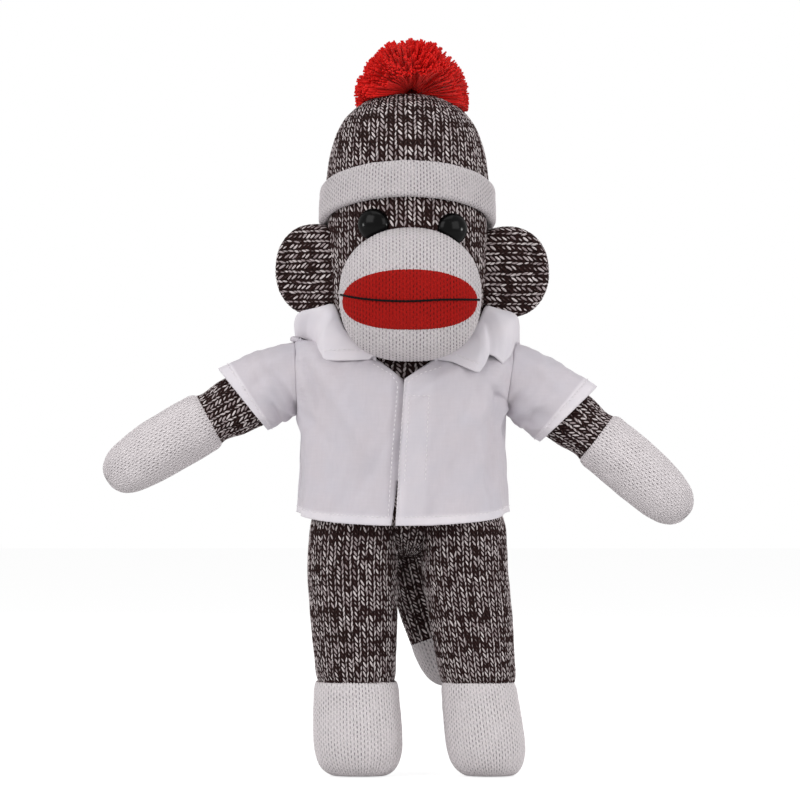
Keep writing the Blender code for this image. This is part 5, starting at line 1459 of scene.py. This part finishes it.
body_rows = [
    hem_line(), shirt_line((.0029, .1625), (.0017, .1480), (.0005, .1305), (-.0005, .1070)),
    shirt_line((.0045, .1555), (.0027, .1222)), shirt_line((.0125, .1555), (.0112, .1226)),
    shirt_line((.0045, .1565), (.0125, .1565)),
    shirt_line((.0044, .1622), (.0062, .1640), (.0110, .1663), (.0172, .1683)),
    shirt_line((-.0006, .1622), (-.0030, .1655), (-.0098, .1694)),
    shirt_line((-.0002, .1600), (-.0024, .1330), (-.0040, .1080)),
    collar_line(-.0300, -.0130, .0043), collar_line(.0180, .0325, .0035)]
shirt_stitches = path_object("shirt_topstitching", body_rows)
grow(shirt_stitches, TOPSTITCH, {"Material": white_thread})
sleeve_stitches = []
for i, side in enumerate(SIDES):
    stitches = path_object("sleeve_%s_topstitching" % side, [sleeve_hem_line(i)])
    sleeve_stitches.append(grow(stitches, TOPSTITCH, {"Material": white_thread}))

# What each piece rides on, or the span it is given, and what it stands for


dress(head_skin, ("torso", "head", (HEAD_X, 0, .1768), (HEAD_X, 0, .1830)), ["head"])
dress(hat_crown_skin, "head", ["hat_crown"])
dress(hat_cuff_skin, "head", ["hat_cuff"])
dress(muzzle_skin, "head", ["muzzle"])
dress(lips_skin, "head", ["lips"])
dress(mouth_line, "head", ["mouth_stitch"])
dress(pompom_strands, "head", ["pompom"])
dress(torso_skin, "torso", ["torso"])
dress(tail_skin, ("torso", "tail", (.003, .022, .1000), (.003, .031, .0880)), ["tail"])
dress(tail_tip_skin, "tail", ["tail_tip"])
for i, side in enumerate(SIDES):
    dress(eyes[i], "head", ["eye_" + side])
    dress(ears[i], "head", ["ear_" + side])
    dress(arms[i][1], "arm_" + side, ["hand_" + side])
    hip = HIP_X[i]
    dress(legs[i][0], ("torso", "leg_" + side, (hip, 0, .101), (hip, 0, .077)), ["leg_" + side])
    dress(legs[i][1], "leg_" + side, ["foot_" + side])
    dress(sleeve_stitches[i], "arm_" + side, [])
    seam = np.array(SHOULDER[i])
    out_along = np.array((OUTWARD[i] * .94, 0, -.34))
    # Arm and sleeve are given the same span between the seam and the cuff
    shoulder_bend = ("torso", "arm_" + side, tuple(seam + out_along * .0005), tuple(seam + out_along * .014))
    dress(arms[i][0], shoulder_bend, ["arm_" + side])
    dress(sleeves[i][0], shoulder_bend, ["sleeve_" + side])
for name, flat in (("shirt_front_left", FRONT_FLAT), ("shirt_front_right", FRONT_FLAT), ("shirt_back", BACK_FLAT)):
    dress(shirt[name], "torso", [name])
dress(collar, COLLAR_BEND, ["collar"])
dress(shirt_stitches, COLLAR_BEND, [])

for node_name, coat in (("eye_washer_left", washer_plastic), ("eye_washer_right", washer_plastic),
                        ("hook_tape", hook_nylon), ("loop_tape", loop_nylon)):
    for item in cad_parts[node_name].material_slots:
        item.material = coat

# Floor, light and camera


def seen(tree):
    """One for what the camera sees, also by reflection or through something, else zero."""
    path = add(tree, "ShaderNodeLightPath")
    direct = add(tree, MATH, path.outputs["Is Camera Ray"], path.outputs["Is Glossy Ray"], operation="MAXIMUM")
    return add(tree, MATH, direct, path.outputs["Is Transmission Ray"], operation="MAXIMUM")


def paper_sweep():
    """White paper: it glows enough to look white in the picture and still takes a soft shadow."""
    made, tree = material("paper_sweep")[:2]
    paper = finish(made, Base_Color=linear("#e6e6e6"), Roughness=.9).node_tree.nodes["Principled BSDF"]
    lit = add(tree, "ShaderNodeEmission", Color=(1, 1, 1, 1), Strength=.80)
    dim = add(tree, "ShaderNodeBsdfDiffuse", Color=linear("#b8b8b8"))
    shown = add(tree, "ShaderNodeMixShader", seen(tree), paper, add(tree, "ShaderNodeAddShader", lit, dim))
    tree.links.new(shown.outputs[0], tree.nodes["Material Output"].inputs["Surface"])
    return made


floor_mesh = bpy.data.meshes.new("floor")
floor_mesh.from_pydata([(x * 4, y * 4, -.0005) for x, y in ((-1, -1), (1, -1), (1, 1), (-1, 1))], [], [(0, 1, 2, 3)])
put("floor", floor_mesh, paper_sweep())

world = bpy.data.worlds.new("studio")
bpy.context.scene.world = world
world.use_nodes = True
sky = world.node_tree
backdrop = sky.nodes["Background"].inputs
feed(sky, [(backdrop["Color"], (1, 1, 1, 1)), (backdrop["Strength"], add(sky, RANGE, seen(sky), 0, 1, .36, 1))])


def softbox(name, place, size, power, target=(0, 0, .15)):
    """A large soft lamp aimed at the doll."""
    lamp = bpy.data.lights.new(name, "AREA")
    lamp.energy = power
    lamp.size = size
    obj = bpy.data.objects.new(name, lamp)
    obj.location = place
    obj.rotation_euler = (Vector(target) - Vector(place)).to_track_quat("-Z", "Y").to_euler()
    bpy.context.scene.collection.objects.link(obj)


for lamp in (("key_left", (-.90, -1.05, .90), .90, 8.8), ("fill_right", (1.0, -.95, .65), .80, 5.2),
             ("side_left", (-1.30, -.42, .22), .18, 2.8), ("side_right", (1.30, -.30, .22), .18, 3.2),
             ("top", (0, -.2, 1.3), .9, 3.5), ("back", (.4, 1.7, .6), 1.0, 6)):
    softbox(*lamp)

lens = bpy.data.cameras.new("camera")
lens.lens = 283.3
lens.sensor_width = 36
lens.clip_start = .05
camera = bpy.data.objects.new("camera", lens)
camera.location = (.0008, -2.6, .1549)
camera.rotation_euler = (math.pi / 2, 0, 0)
bpy.context.scene.collection.objects.link(camera)
bpy.context.scene.camera = camera
bpy.context.scene.view_settings.view_transform = "Standard"
